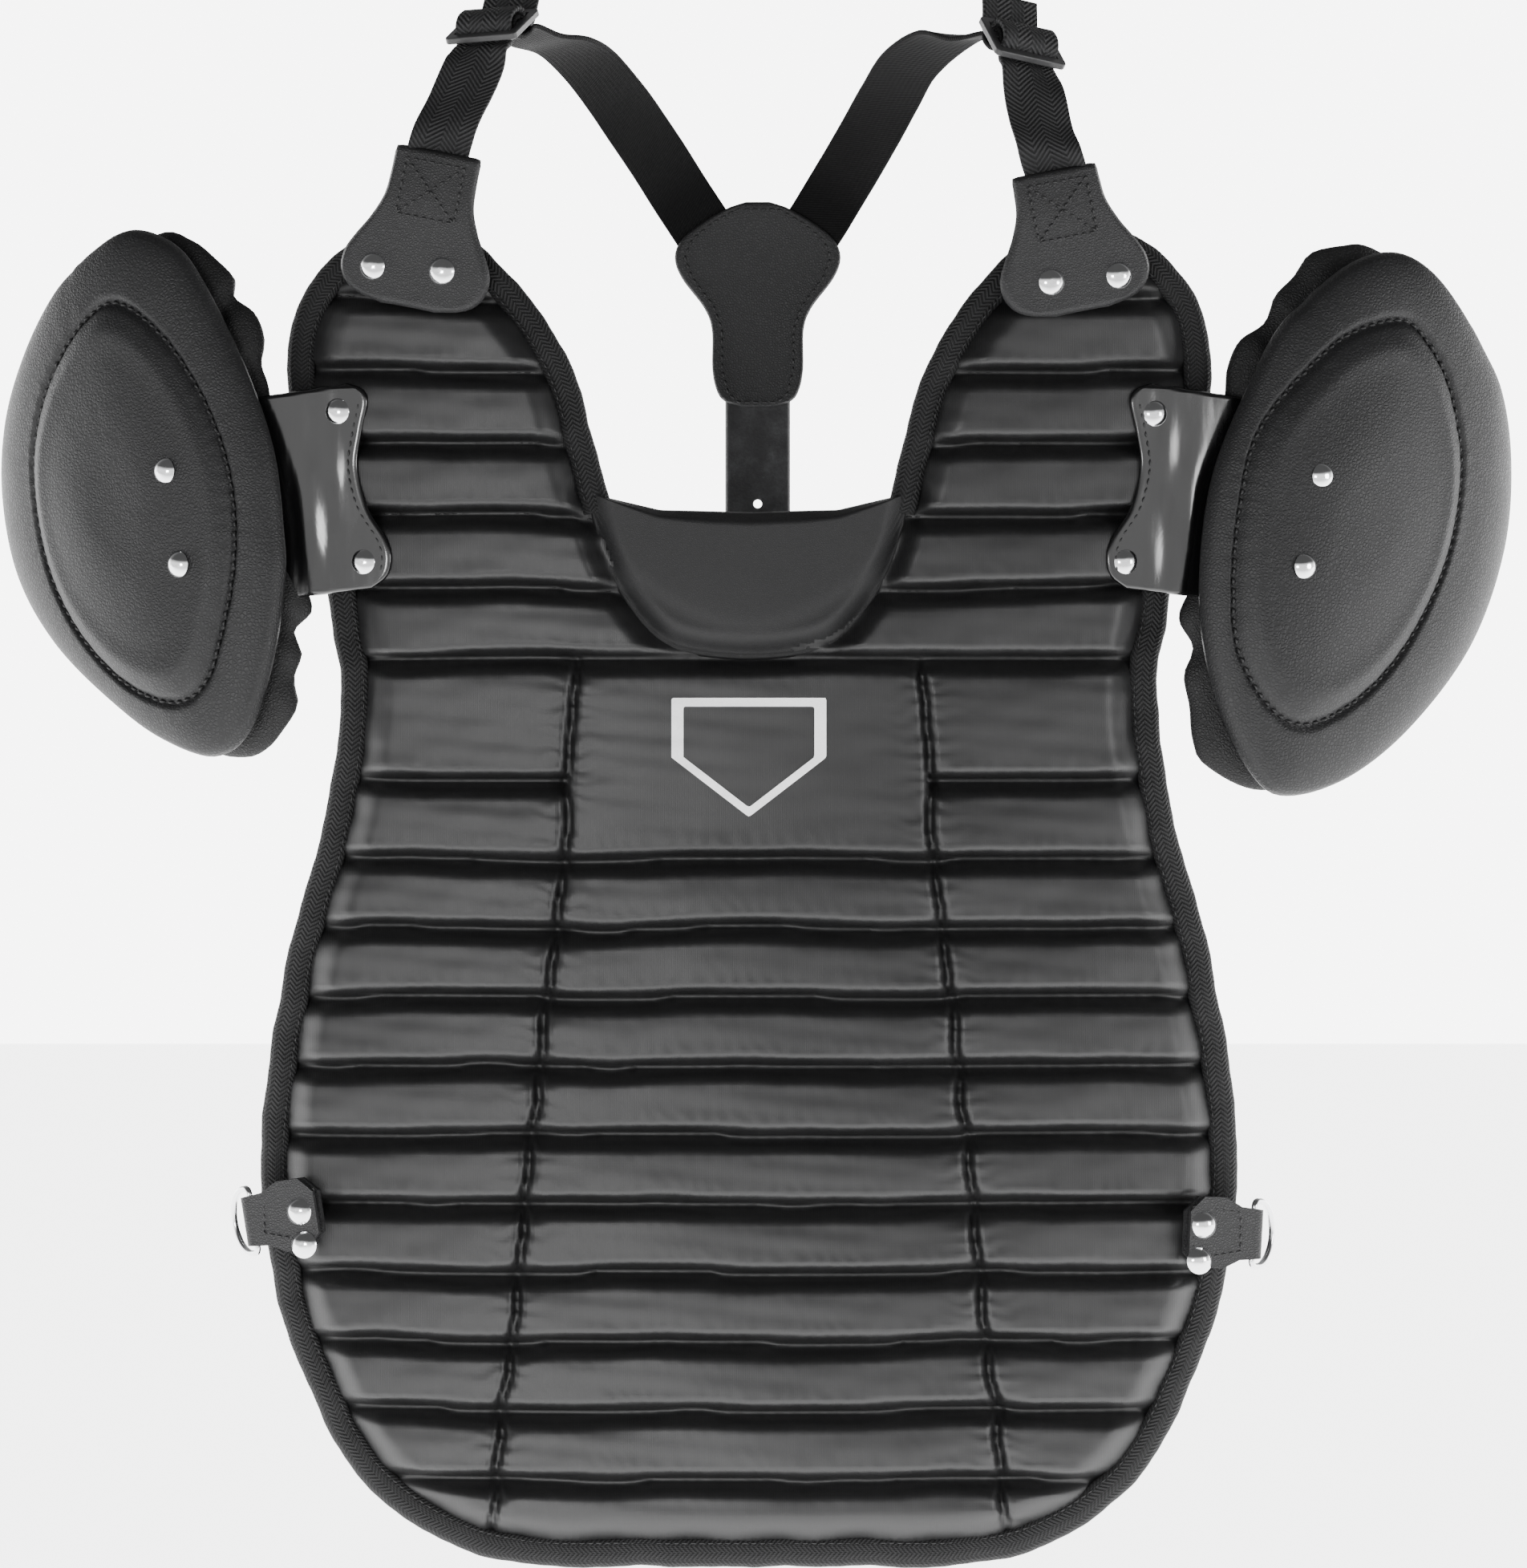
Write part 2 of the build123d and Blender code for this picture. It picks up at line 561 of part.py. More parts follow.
with BuildPart() as waist_hooks:
    with BuildSketch(Plane.XZ.offset(-YOKE_Y - HOOK_THICKNESS / 2)):
        for sign in SIDES.values():
            with Locations((PATCH_X + sign * TAIL_REACH, TAIL_END - 7.6)):
                RectangleRounded(*HOOK, 3)
                with Locations((0, 4)):
                    Rectangle(21, 5.4, mode=Mode.SUBTRACT)
                with Locations((sign * 3, -4)):
                    Rectangle(13, 3.4, mode=Mode.SUBTRACT)
                with Locations((sign * 11, -4)):
                    Rectangle(5, 3.4, mode=Mode.SUBTRACT)
    extrude(amount=HOOK_THICKNESS)
save(waist_hooks, "waist_hooks")
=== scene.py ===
"""Padded chest protector: quilted cloth, leather caps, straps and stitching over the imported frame.

Mesh code works in millimetres in the frame's own axes: +Z up, the front faces -Y.
"""

import json
from functools import partial
from math import cos, pi, radians, sin
from types import SimpleNamespace

import bmesh
import bpy
import numpy as np
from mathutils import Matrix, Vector, kdtree


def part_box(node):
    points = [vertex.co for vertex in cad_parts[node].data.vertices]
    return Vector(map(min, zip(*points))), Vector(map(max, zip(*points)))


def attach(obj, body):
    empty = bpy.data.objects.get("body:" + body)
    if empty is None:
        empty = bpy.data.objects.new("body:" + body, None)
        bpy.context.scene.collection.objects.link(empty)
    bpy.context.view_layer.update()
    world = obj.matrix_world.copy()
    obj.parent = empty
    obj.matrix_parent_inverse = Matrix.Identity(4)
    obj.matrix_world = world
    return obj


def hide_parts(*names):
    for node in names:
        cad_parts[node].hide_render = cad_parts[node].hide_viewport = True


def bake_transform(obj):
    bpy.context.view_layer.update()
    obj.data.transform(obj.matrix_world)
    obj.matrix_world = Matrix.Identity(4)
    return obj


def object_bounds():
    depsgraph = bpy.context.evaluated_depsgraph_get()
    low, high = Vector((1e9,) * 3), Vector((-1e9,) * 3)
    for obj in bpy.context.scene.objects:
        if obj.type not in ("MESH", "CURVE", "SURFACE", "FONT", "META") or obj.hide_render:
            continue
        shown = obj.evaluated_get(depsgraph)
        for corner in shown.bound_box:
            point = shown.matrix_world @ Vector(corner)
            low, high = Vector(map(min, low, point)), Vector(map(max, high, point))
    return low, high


bl_info = {
    "name": "Padded chest protector",
    "version": (1, 0, 0),
    "blender": (4, 5, 0),
    "location": "3D View > Sidebar > Protector",
    "description": "Builds a quilted chest protector with shoulder caps and a strap harness",
    "category": "Add Mesh",
}

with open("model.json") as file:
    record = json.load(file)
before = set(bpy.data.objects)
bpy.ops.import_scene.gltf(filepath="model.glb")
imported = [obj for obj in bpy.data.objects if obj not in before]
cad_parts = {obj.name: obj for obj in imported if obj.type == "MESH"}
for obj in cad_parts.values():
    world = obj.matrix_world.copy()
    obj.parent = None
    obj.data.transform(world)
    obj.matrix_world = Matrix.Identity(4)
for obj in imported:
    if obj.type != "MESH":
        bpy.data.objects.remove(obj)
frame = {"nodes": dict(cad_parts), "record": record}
CAD_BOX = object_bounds()
MM = 0.001
SIDES = {"left": -1, "right": 1}
FORWARD = np.array([0.0, -1.0, 0.0])

# The panel's edge from the bottom round to the neck, on the right side, in the panel's front view
EDGE = [
    (0, -230), (40, -230), (75, -229.5), (104.6, -221.4), (132.8, -200), (150.4, -167), (161, -135),
    (165.4, -88), (156.5, -27), (144.7, 16), (138, 59.4), (141.6, 92), (151, 137), (156.5, 173),
    (150.3, 199.8), (134, 216), (113, 222), (92, 215), (76.7, 199.8), (60, 174), (48, 132),
]
PANEL_CORNERS = ((-168, -232), (168, 224))
COLLAR_EDGE = [(0, 77), (20, 79), (31, 84), (41, 96), (49, 112), (54, 131)]
COLLAR_TOP = [(54, 131), (30, 125), (0, 124)]
SIDE_SEAM = [(88, -240), (82.8, -177), (77.4, -132), (70.5, -62.6), (62.1, 8.1), (58.2, 75.6)]
# Heights of the stitched rows between the foam bars
CHEST_TOP = 75.6
SHOULDER_ROWS = [CHEST_TOP + 24.2 * k for k in range(6)] + [224]
CENTRE_ROWS = [CHEST_TOP] + [8.1 - 23.2 * k for k in range(10)] + [-226]
SIDE_ROWS = CENTRE_ROWS + [34.8]
SHOULDER_DROOP = 0.03

# Straps: a common width, and each one's thickness
STRAP_WIDTH, WEBBING, ELASTIC, SUEDE, LEATHER = 21, 1.8, 1.6, 2.4, 1.6

# Each cap's middle, its turn round the arm and its lean, in degrees
CAPS = {"left": ((-213, 37, 131), 38, 12), "right": ((211, 30, 120.7), 32, 13)}

# Outlines in each cap's own plane: across the arm, and up the cap
CAP_EDGE = {
    "left": [
        (23, 87), (8, 84), (-11, 75), (-33, 57), (-51, 36), (-60, 12), (-58, -15), (-42, -42),
        (-15, -70), (4, -86), (22, -95), (36, -89), (48, -67), (56, -41), (58, -25), (59, 3), (54, 34),
        (45, 64), (37, 79),
    ],
    "right": [
        (-13, 92), (-29, 83), (-46, 60), (-54, 33), (-59, 4), (-58, -24), (-53, -50), (-42, -75),
        (-27, -93), (-14, -97), (8, -86), (32, -62), (54, -28), (62, 6), (57, 35), (43, 60), (20, 79),
        (2, 90),
    ],
}
CAP_SEAM = {
    "left": [
        (17, 63), (0, 58), (-18, 42), (-31, 18), (-33, -13), (-24, -40), (-6, -63), (14, -75),
        (28, -71), (38, -53), (45, -33), (48, -12), (47, 8), (42, 28), (32, 49),
    ],
    "right": [
        (-10, 69), (-28, 59), (-42, 40), (-51, 18), (-52, -8), (-49, -35), (-43, -55), (-30, -70),
        (-16, -73), (2, -60), (17, -39), (27, -12), (29, 12), (25, 34), (14, 54), (1, 66),
    ],
}
CAP_CUSHION = {
    "left": [
        (23, 86), (36, 81), (43, 73), (48, 65), (47, 59), (53, 52), (55, 43), (53, 34), (54, 24),
        (51, 0), (52, -25), (56, -49), (54, -54), (49, -58), (50, -66), (46, -74), (46, -83), (40, -90),
        (33, -95), (24, -96), (10, -90), (-15, -67), (-40, -40), (-54, -14), (-56, 10), (-48, 34),
        (-31, 55), (-9, 74),
    ],
    "right": [
        (-12, 94), (-25, 92), (-35, 87), (-39, 78), (-44, 70), (-46, 60), (-53, 52), (-55, 42),
        (-54, 33), (-52, 4), (-53, -30), (-55, -45), (-49, -54), (-50, -64), (-46, -74), (-43, -84),
        (-37, -92), (-17, -96), (8, -84), (34, -62), (57, -28), (67, 8), (62, 38), (46, 64), (20, 84),
    ],
}


# ---------------------------------------------------------------- sizes and colours

def length(label, about, size, least=0):
    """A length property, given in millimetres and kept in metres."""
    return bpy.props.FloatProperty(name=label, description=about, default=size * MM, min=least * MM,
                                   unit="LENGTH", precision=5)


def colour(label, about, value):
    return bpy.props.FloatVectorProperty(name=label, description=about, default=value, min=0, max=1,
                                         subtype="COLOR")


class PanelSizes(bpy.types.PropertyGroup):
    """Sizes of the quilted panel"""
    back_radius: length("Back radius", "Bend of the panel's back face", 400, 250)
    base: length("Seam level", "Height of the stitched seams over the back", 4.5, 1)
    loft: length("Loft", "Rise of each padded bar over its seams", 11)
    binding: length("Binding width", "Width of the edge tape", 9.5, 5)
    mesh: length("Mesh size", "Distance between the cover's mesh points", 1.25, 0.5)


class CapSizes(bpy.types.PropertyGroup):
    """Sizes of the shoulder caps"""
    radius: length("Bend radius", "Bend of the cap round the arm", 150, 100)
    flange: length("Flange height", "Rise of the padded rim", 8.5)
    dome: length("Dome height", "Rise of the stitched middle over the rim", 5.5)
    cushion: length("Cushion", "Thickness of the pad behind the plate", 17, 5)


class Colours(bpy.types.PropertyGroup):
    """Colours of the cloth, leather and fittings"""
    nylon: colour("Nylon", "Satin cover cloth", (0.0065, 0.0065, 0.0068))
    tape: colour("Tape", "Binding tape and webbing", (0.0045, 0.0045, 0.0047))
    leather: colour("Leather", "Tabs, patches and caps", (0.0105, 0.0105, 0.011))
    gloss: colour("Patent sheet", "Glossy flaps", (0.003, 0.003, 0.0032))
    plastic: colour("Buckle", "Buckle plastic", (0.032, 0.032, 0.033))


def shown(group):
    """Names of a group's own properties."""
    return [name for name in group.bl_rna.properties.keys() if name not in ("rna_type", "name")]


def in_millimetres(group):
    return SimpleNamespace(**{name: getattr(group, name) / MM for name in shown(group)})


def panel_sizes():
    return in_millimetres(bpy.context.scene.protector_panel)


def cap_sizes():
    return in_millimetres(bpy.context.scene.protector_cap)


def colours():
    return bpy.context.scene.protector_colours


# ---------------------------------------------------------------- shader maths

class Value:
    """A number socket; arithmetic on it adds Math nodes."""

    def __init__(self, nodes, socket):
        self.nodes, self.socket = nodes, socket

    def join(self, operation, left, right):
        return self.nodes.node("ShaderNodeMath", {"operation": operation}, [left, right])

    def __add__(self, other):
        return self.join("ADD", self, other)

    __radd__ = __add__

    def __sub__(self, other):
        return self.join("SUBTRACT", self, other)

    def __rsub__(self, other):
        return self.join("SUBTRACT", other, self)

    def __mul__(self, other):
        return self.join("MULTIPLY", self, other)

    __rmul__ = __mul__

    def __truediv__(self, other):
        return self.join("DIVIDE", self, other)


class Nodes:
    """The node tree of a material or a world, and the shader that its looks are linked to."""

    def __init__(self, owner, shader, **constants):
        owner.use_nodes = True
        self.tree = owner.node_tree
        self.shader = next(n for n in self.tree.nodes if n.type == shader)
        for key, value in constants.items():
            self.shader.inputs[key.replace("_", " ")].default_value = value

    def node(self, kind, settings=(), values=(), output=0):
        """Adds a node: its settings first, then the values or links of its inputs."""
        made = self.tree.nodes.new(kind)
        for key, value in dict(settings).items():
            setattr(made, key, value)
        for key, value in values.items() if isinstance(values, dict) else enumerate(values):
            if isinstance(value, Value):
                self.tree.links.new(value.socket, made.inputs[key])
            else:
                made.inputs[key].default_value = value
        return Value(self, made.outputs[output])

    def split(self, vector):
        parts = self.node("ShaderNodeSeparateXYZ", {}, [vector]).socket.node.outputs
        return [Value(self, part) for part in parts]

    def link(self, **sockets):
        """Links values to the shader's inputs; an underscore stands for a space."""
        for key, value in sockets.items():
            self.tree.links.new(value.socket, self.shader.inputs[key.replace("_", " ")])


class Finish(Nodes):
    """A Principled material and the few patterns that every finish uses."""

    def __init__(self, name, **constants):
        self.material = bpy.data.materials.new(name)
        super().__init__(self.material, "BSDF_PRINCIPLED", **constants)

    def place(self, stretch=(1, 1, 1)):
        """Coordinates on the piece in millimetres, stretched along each axis."""
        object_place = self.node("ShaderNodeTexCoord", output="Object")
        scale = tuple(s / MM for s in stretch)
        return self.node("ShaderNodeVectorMath", {"operation": "MULTIPLY"}, [object_place, scale])

    def strip(self):
        """Distances along and across a strip, in millimetres."""
        along, across, _ = self.split(self.node("ShaderNodeUVMap", {"uv_map": "strip"}))
        return along * (1 / MM), across * (1 / MM)

    def axes(self):
        return self.split(self.place())

    def noise(self, size, detail=3, stretch=(1, 1, 1), roughness=0.5):
        values = {"Vector": self.place(stretch), "Scale": 1 / size, "Detail": detail,
                  "Roughness": roughness}
        return self.node("ShaderNodeTexNoise", {}, values)

    def cells(self, size):
        """Distance from the edges of irregular cells."""
        return self.node("ShaderNodeTexVoronoi", {"feature": "DISTANCE_TO_EDGE"},
                         {"Vector": self.place(), "Scale": 1 / size})

    def wave(self, phase):
        """From 0 to 1, once per 1 of phase."""
        return self.node("ShaderNodeMath", {"operation": "SINE"}, [phase * (2 * pi)]) * 0.5 + 0.5

    def triangle(self, phase):
        """From 0 to 1 and back, once per 1 of phase, in straight lines."""
        return self.node("ShaderNodeMath", {"operation": "PINGPONG"}, [phase * 2, 1.0])

    def band(self, value, low, high):
        """0 below low, 1 above high, smooth between."""
        return self.node("ShaderNodeMapRange", {"interpolation_type": "SMOOTHSTEP"}, [value, low, high])

    def blend(self, amount, first, second):
        first, second = ((*c, 1) if len(c) == 3 else c for c in (first, second))
        return self.node("ShaderNodeMix", {"data_type": "RGBA"}, {0: amount, 6: first, 7: second}, output=2)

    def tones(self, base, amount, low, high):
        """A mix of two shades of a colour: low times it, and high times it."""
        return self.blend(amount, shade(base, low), shade(base, high))

    def bump(self, height, depth, strength=1.0):
        """Relief: height from 0 to 1, over a depth in millimetres."""
        relief = {"Height": height, "Strength": strength, "Distance": depth * MM}
        self.link(Normal=self.node("ShaderNodeBump", {}, relief))


def shade(colour, factor):
    return tuple(min(1.0, c * factor) for c in colour)


made_finishes = {}


def finish(name):
    """The material of this name, made once."""
    if name not in made_finishes:
        made_finishes[name] = FINISHES[name]()
    return made_finishes[name]


def satin_nylon():
    f = Finish("satin_nylon", Specular_IOR_Level=0.5)
    x, _, z = f.axes()
    warp = f.wave(x / 0.62 + f.noise(9, 2) * 0.6)
    weft = f.wave(z / 0.5)
    slubs = f.noise(1.6, 4, (1.6, 1, 0.12))
    soft = f.noise(14, 3)
    grain = f.noise(0.7, 2)
    streaks = f.noise(3.5, 4, (0.22, 1, 1.4))
    weave = warp * 0.4 + warp * weft * 0.25 + slubs * 0.3
    cloth = f.band(slubs * 0.25 + streaks * 0.5 + soft * 0.3 + warp * 0.08, 0.3, 0.8)
    f.link(Base_Color=f.tones(colours().nylon, cloth, 0.75, 1.35),
           Roughness=0.34 + grain * 0.12 + soft * 0.08 + streaks * 0.06)
    f.bump(weave + grain * 0.3 + streaks * 0.3, 0.07, 0.5)
    return f.material


def lining():
    f = Finish("lining_cloth", Sheen_Weight=0.2)
    x, _, z = f.axes()
    holes = f.wave(x / 2.2) * f.wave(z / 2.2)
    f.link(Base_Color=f.tones(colours().nylon, f.band(holes + f.noise(8) * 0.2, 0.2, 0.8), 0.4, 0.95),
           Roughness=0.72 + f.noise(3) * 0.2)
    f.bump(1 - holes + f.noise(0.6) * 0.3, 0.4, 0.8)
    return f.material


def herringbone(name, base, rib, column, light, rough, relief):
    """Tape with slanted ribs that change direction from column to column."""
    f = Finish(name, Specular_IOR_Level=0.3)
    along, across = f.strip()
    zigzag = f.triangle(across / (2 * column)) * column
    ribs = f.wave((along + zigzag * 0.9) / rib)
    picks = f.wave(across / (column * 0.28))
    fluff = f.noise(1.1, 4)
    worn = f.noise(12, 3)
    f.link(Base_Color=f.tones(base, f.band(ribs * 0.6 + fluff * 0.4 + worn * 0.2, 0.25, 0.95), 0.5, light),
           Roughness=rough + fluff * 0.2)
    f.bump(ribs * 0.8 + picks * 0.25 + fluff * 0.3, relief, 0.8)
    return f.material


def binding_tape():
    return herringbone("binding_tape", shade(colours().tape, 1.1), 1.6, 2.4, 2.6, 0.66, 0.5)


def webbing():
    return herringbone("webbing", shade(colours().tape, 2.8), 1.8, 5.2, 2.2, 0.58, 0.5)


def elastic():
    f = Finish("elastic", Specular_IOR_Level=0.15)
    along, across = f.strip()
    ribs = f.wave((along + across * 0.55) / 0.9)
    cords = f.wave(across / 1.5)
    fluff = f.noise(0.9, 4)
    f.link(Base_Color=f.tones(shade(colours().tape, 0.7), f.band(ribs * 0.5 + fluff * 0.6, 0.3, 0.9), 0.6, 1.6),
           Roughness=0.66 + fluff * 0.2)
    f.bump(ribs * 0.7 + cords * 0.5 + fluff * 0.2, 0.22, 0.8)
    return f.material


def leather(name, base, cell, depth, low, high, rough):
    """Leather with grain cells, soft creases and a little wear on the high grain."""
    f = Finish(name, Specular_IOR_Level=0.34)
    grain = f.band(f.cells(cell), 0.02, 0.30)
    fine = f.noise(cell * 0.35, 3)
    patches = f.noise(18, 4)
    creases = f.band(f.noise(5.5, 5, (1, 1, 0.6)), 0.42, 0.62)
    f.link(Base_Color=f.tones(base, f.band(grain * 0.45 + patches * 0.6 + fine * 0.3, 0.35, 1.05), low, high),
           Roughness=rough + fine * 0.18 - grain * 0.08 + patches * 0.1)
    f.bump(grain * 0.8 + fine * 0.35 + creases * 0.35, depth, 0.9)
    return f.material


def smooth_leather():
    return leather("smooth_leather", shade(colours().leather, 1.5), 0.9, 0.12, 0.75, 1.35, 0.44)


def pebbled_leather():
    return leather("pebbled_leather", shade(colours().leather, 1.15), 1.25, 0.10, 0.8, 1.3, 0.40)


def collar_vinyl():
    return leather("collar_vinyl", shade(colours().leather, 0.95), 0.6, 0.05, 0.85, 1.15, 0.5)


def pad_cloth():
    return leather("pad_cloth", shade(colours().leather, 0.7), 1.1, 0.18, 0.7, 1.3, 0.52)


def suede():
    f = Finish("suede", Sheen_Weight=0.35, Sheen_Roughness=0.6, Specular_IOR_Level=0.2)
    nap = f.noise(0.8, 5)
    mottle = f.noise(9, 5, roughness=0.65)
    scuffs = f.band(f.noise(22, 4), 0.58, 0.72)
    worn = f.band(mottle * 0.8 + nap * 0.3 + scuffs * 0.3, 0.35, 1.0)
    f.link(Base_Color=f.tones(shade(colours().leather, 2.2), worn, 0.7, 2.6),
           Roughness=0.86 + nap * 0.12)
    f.bump(nap, 0.2, 0.7)
    return f.material


def patent_sheet():
    f = Finish("patent_sheet", Coat_Weight=0.7, Coat_Roughness=0.12, Specular_IOR_Level=0.5)
    smears = f.noise(7, 4, (1, 1, 0.3))
    f.link(Base_Color=f.tones(colours().gloss, smears, 0.7, 1.5),
           Roughness=0.14 + f.band(smears, 0.45, 0.75) * 0.2)
    f.bump(f.noise(5, 2, (1, 1, 0.25)) + f.noise(0.5, 2) * 0.05, 0.35, 0.5)
    return f.material


def plated_steel():
    f = Finish("plated_steel", Specular_IOR_Level=0.6)
    scratches = f.noise(0.8, 4, (3, 1, 0.4))
    f.link(Base_Color=f.blend(f.noise(3), (0.78, 0.79, 0.80), (0.93, 0.93, 0.94)),
           Roughness=0.06 + scratches * 0.12, Metallic=1 - f.band(scratches, 0.85, 0.95) * 0.1)
    f.bump(scratches, 0.02, 0.4)
    return f.material


def buckle_plastic():
    f = Finish("buckle_plastic", Specular_IOR_Level=0.5)
    grain = f.noise(0.5, 3)
    wear = f.noise(6, 4)
    f.link(Base_Color=f.tones(colours().plastic, f.band(wear, 0.35, 0.7), 0.8, 1.3),
           Roughness=0.32 + grain * 0.15)
    f.bump(grain, 0.05, 0.6)
    return f.material


def stitching():
    f = Finish("thread", Specular_IOR_Level=0.45)
    twist = f.noise(0.45, 2)
    f.link(Base_Color=f.blend(twist, (0.004, 0.004, 0.004), (0.02, 0.02, 0.021)),
           Roughness=0.5 + twist * 0.2)
    f.bump(twist, 0.08)
    return f.material


def white_print():
    f = Finish("white_print", Specular_IOR_Level=0.4)
    cracks = f.band(f.cells(1.4), 0.0, 0.05)
    cloth = f.noise(0.9, 3)
    f.link(Base_Color=f.blend(cracks * 0.4 + cloth * 0.8, (0.8, 0.8, 0.81), (0.95, 0.95, 0.95)),
           Roughness=0.5 + cloth * 0.15)
    f.bump(cloth + cracks * 0.3, 0.08, 0.6)
    return f.material


def stiff_plastic():
    f = Finish("stiff_plastic", Specular_IOR_Level=0.45)
    f.link(Base_Color=f.blend(f.noise(4), (0.012, 0.012, 0.012), (0.03, 0.03, 0.031)),
           Roughness=0.4 + f.noise(1) * 0.15)
    f.bump(f.noise(0.7, 3), 0.08)
    return f.material


FINISHES = {f.__name__: f for f in (
    satin_nylon, lining, binding_tape, webbing, elastic, smooth_leather, pebbled_leather, collar_vinyl,
    pad_cloth, suede, patent_sheet, plated_steel, buckle_plastic, stitching, white_print, stiff_plastic)}


# ---------------------------------------------------------------- mesh helpers

def smooth(t):
    t = np.clip(t, 0, 1)
    return t * t * (3 - 2 * t)


def curve(points, step):
    """Points along a smooth line through the given ones, about one step apart."""
    p = np.array(points, float)
    p = np.vstack([2 * p[0] - p[1], p, 2 * p[-1] - p[-2]])
    out = []
    for a, b, c, d in zip(p, p[1:], p[2:], p[3:]):
        count = max(2, int(np.linalg.norm(c[:3] - b[:3]) / step))
        t = np.linspace(0, 1, count, endpoint=False)[:, None]
        out.append(0.5 * (2 * b + (c - a) * t + (2 * a - 5 * b + 4 * c - d) * t**2
                          + (3 * b - a - 3 * c + d) * t**3))
    return np.vstack(out + [p[-2:-1]])


def lengths(path):
    """Distance of each point along a path."""
    steps = np.linalg.norm(np.diff(path, axis=0), axis=1)
    return np.concatenate([[0], np.cumsum(steps)])


def sample(path, along, at):
    """The path's values at these distances along it."""
    return np.stack([np.interp(at, along, column) for column in path.T], axis=1)


def evenly(path, count):
    """The same path with this many evenly spaced points."""
    along = lengths(path)
    return sample(path, along, np.linspace(0, along[-1], count))


def spread(path, step):
    """The same path with points about one step apart."""
    return evenly(path, max(2, int(round(lengths(path)[-1] / step)) + 1))


def closed(points):
    """A path that ends where it starts."""
    points = np.array(points, float)
    return np.vstack([points, points[:1]])


def turns(count):
    """Evenly spaced angles round a circle."""
    return np.arange(count) / count * 2 * pi


def unit(v):
    v = np.asarray(v, float)
    return v / np.maximum(np.linalg.norm(v, axis=-1, keepdims=True), 1e-9)


def wobble(a, b, size, seed):
    """Smooth uneven waves between about -1 and 1."""
    rng = np.random.default_rng(seed)
    total = 0
    for _ in range(6):
        turn = rng.uniform(0, 2 * pi)
        pitch = size * rng.uniform(0.6, 1.6)
        total = total + np.sin((a * cos(turn) + b * sin(turn)) / pitch * 2 * pi + rng.uniform(0, 2 * pi))
    return total / 3


def grid_faces(rows, columns, ring=False):
    """Faces of a grid of points stored row by row; a ring's last column meets its first."""
    i, j = np.meshgrid(np.arange(rows - 1), np.arange(columns if ring else columns - 1), indexing="ij")
    k = (j + 1) % columns
    return np.stack([i * columns + j, i * columns + k, (i + 1) * columns + k, (i + 1) * columns + j],
                    axis=-1).reshape(-1, 4)


def tube_faces(rows, columns):
    """Faces of a tube of rings, closed at both ends."""
    ends = [list(range(columns))[::-1], list(range((rows - 1) * columns, rows * columns))]
    return grid_faces(rows, columns, ring=True).tolist() + ends


def trimmed(points, keep):
    """The points and faces of a grid that lie where keep is true."""
    faces = grid_faces(*keep.shape)
    faces = faces[keep.ravel()[faces].all(axis=1)]
    used, faces = np.unique(faces, return_inverse=True)
    return points.reshape(-1, 3)[used], faces.reshape(-1, 4)


def build(name, points, faces, look, strip=None):
    """A smooth-shaded mesh object from points in millimetres."""
    mesh = bpy.data.meshes.new(name)
    mesh.from_pydata((np.asarray(points, float).reshape(-1, 3) * MM).tolist(), [], [list(f) for f in faces])
    if strip is not None:
        layer = mesh.uv_layers.new(name="strip")
        corner = np.empty(len(mesh.loops), np.int32)
        mesh.loops.foreach_get("vertex_index", corner)
        layer.data.foreach_set("uv", (np.asarray(strip, float).reshape(-1, 2)[corner] * MM).ravel())
    mesh.polygons.foreach_set("use_smooth", np.ones(len(mesh.polygons), bool))
    mesh.update()
    made = bpy.data.objects.new(name, mesh)
    bpy.context.scene.collection.objects.link(made)
    mesh.materials.append(finish(look))
    return made


def mend(made):
    """Turns every face of a closed mesh outward."""
    work = bmesh.new()
    work.from_mesh(made.data)
    bmesh.ops.recalc_face_normals(work, faces=work.faces)
    work.to_mesh(made.data)
    work.free()
    return made


def slab(name, points, outward, thickness, look, back=None):
    """A sheet of this thickness with a rounded rim; its front lies on the grid of points."""
    rows, columns = points.shape[:2]
    normals = unit(np.cross(np.gradient(points, axis=1), np.gradient(points, axis=0)))
    if (normals * outward).sum() < 0:
        normals = -normals
    back = points - normals * thickness if back is None else back
    rim = [(0, j) for j in range(columns)] + [(i, columns - 1) for i in range(1, rows)]
    rim += [(rows - 1, j) for j in range(columns - 2, -1, -1)] + [(i, 0) for i in range(rows - 2, 0, -1)]
    order = np.array([i * columns + j for i, j in rim])
    flat, flat_back = points.reshape(-1, 3), back.reshape(-1, 3)
    middle = (flat[order] + flat_back[order]) / 2
    ahead = unit(np.roll(middle, -1, axis=0) - np.roll(middle, 1, axis=0))
    side = np.cross(ahead, normals.reshape(-1, 3)[order])
    centre = flat.mean(axis=0)
    if ((middle - centre) * side).sum() < 0:
        side = -side
    middle = middle + side * thickness * 0.42
    count, ring = len(flat), len(order)
    front = grid_faces(rows, columns)
    faces = front.tolist() + (front[:, ::-1] + count).tolist()
    for k in range(ring):
        n = (k + 1) % ring
        faces.append([order[k], order[n], 2 * count + n, 2 * count + k])
        faces.append([2 * count + k, 2 * count + n, count + order[n], count + order[k]])
    return mend(build(name, np.vstack([flat, flat_back, middle]), faces, look))


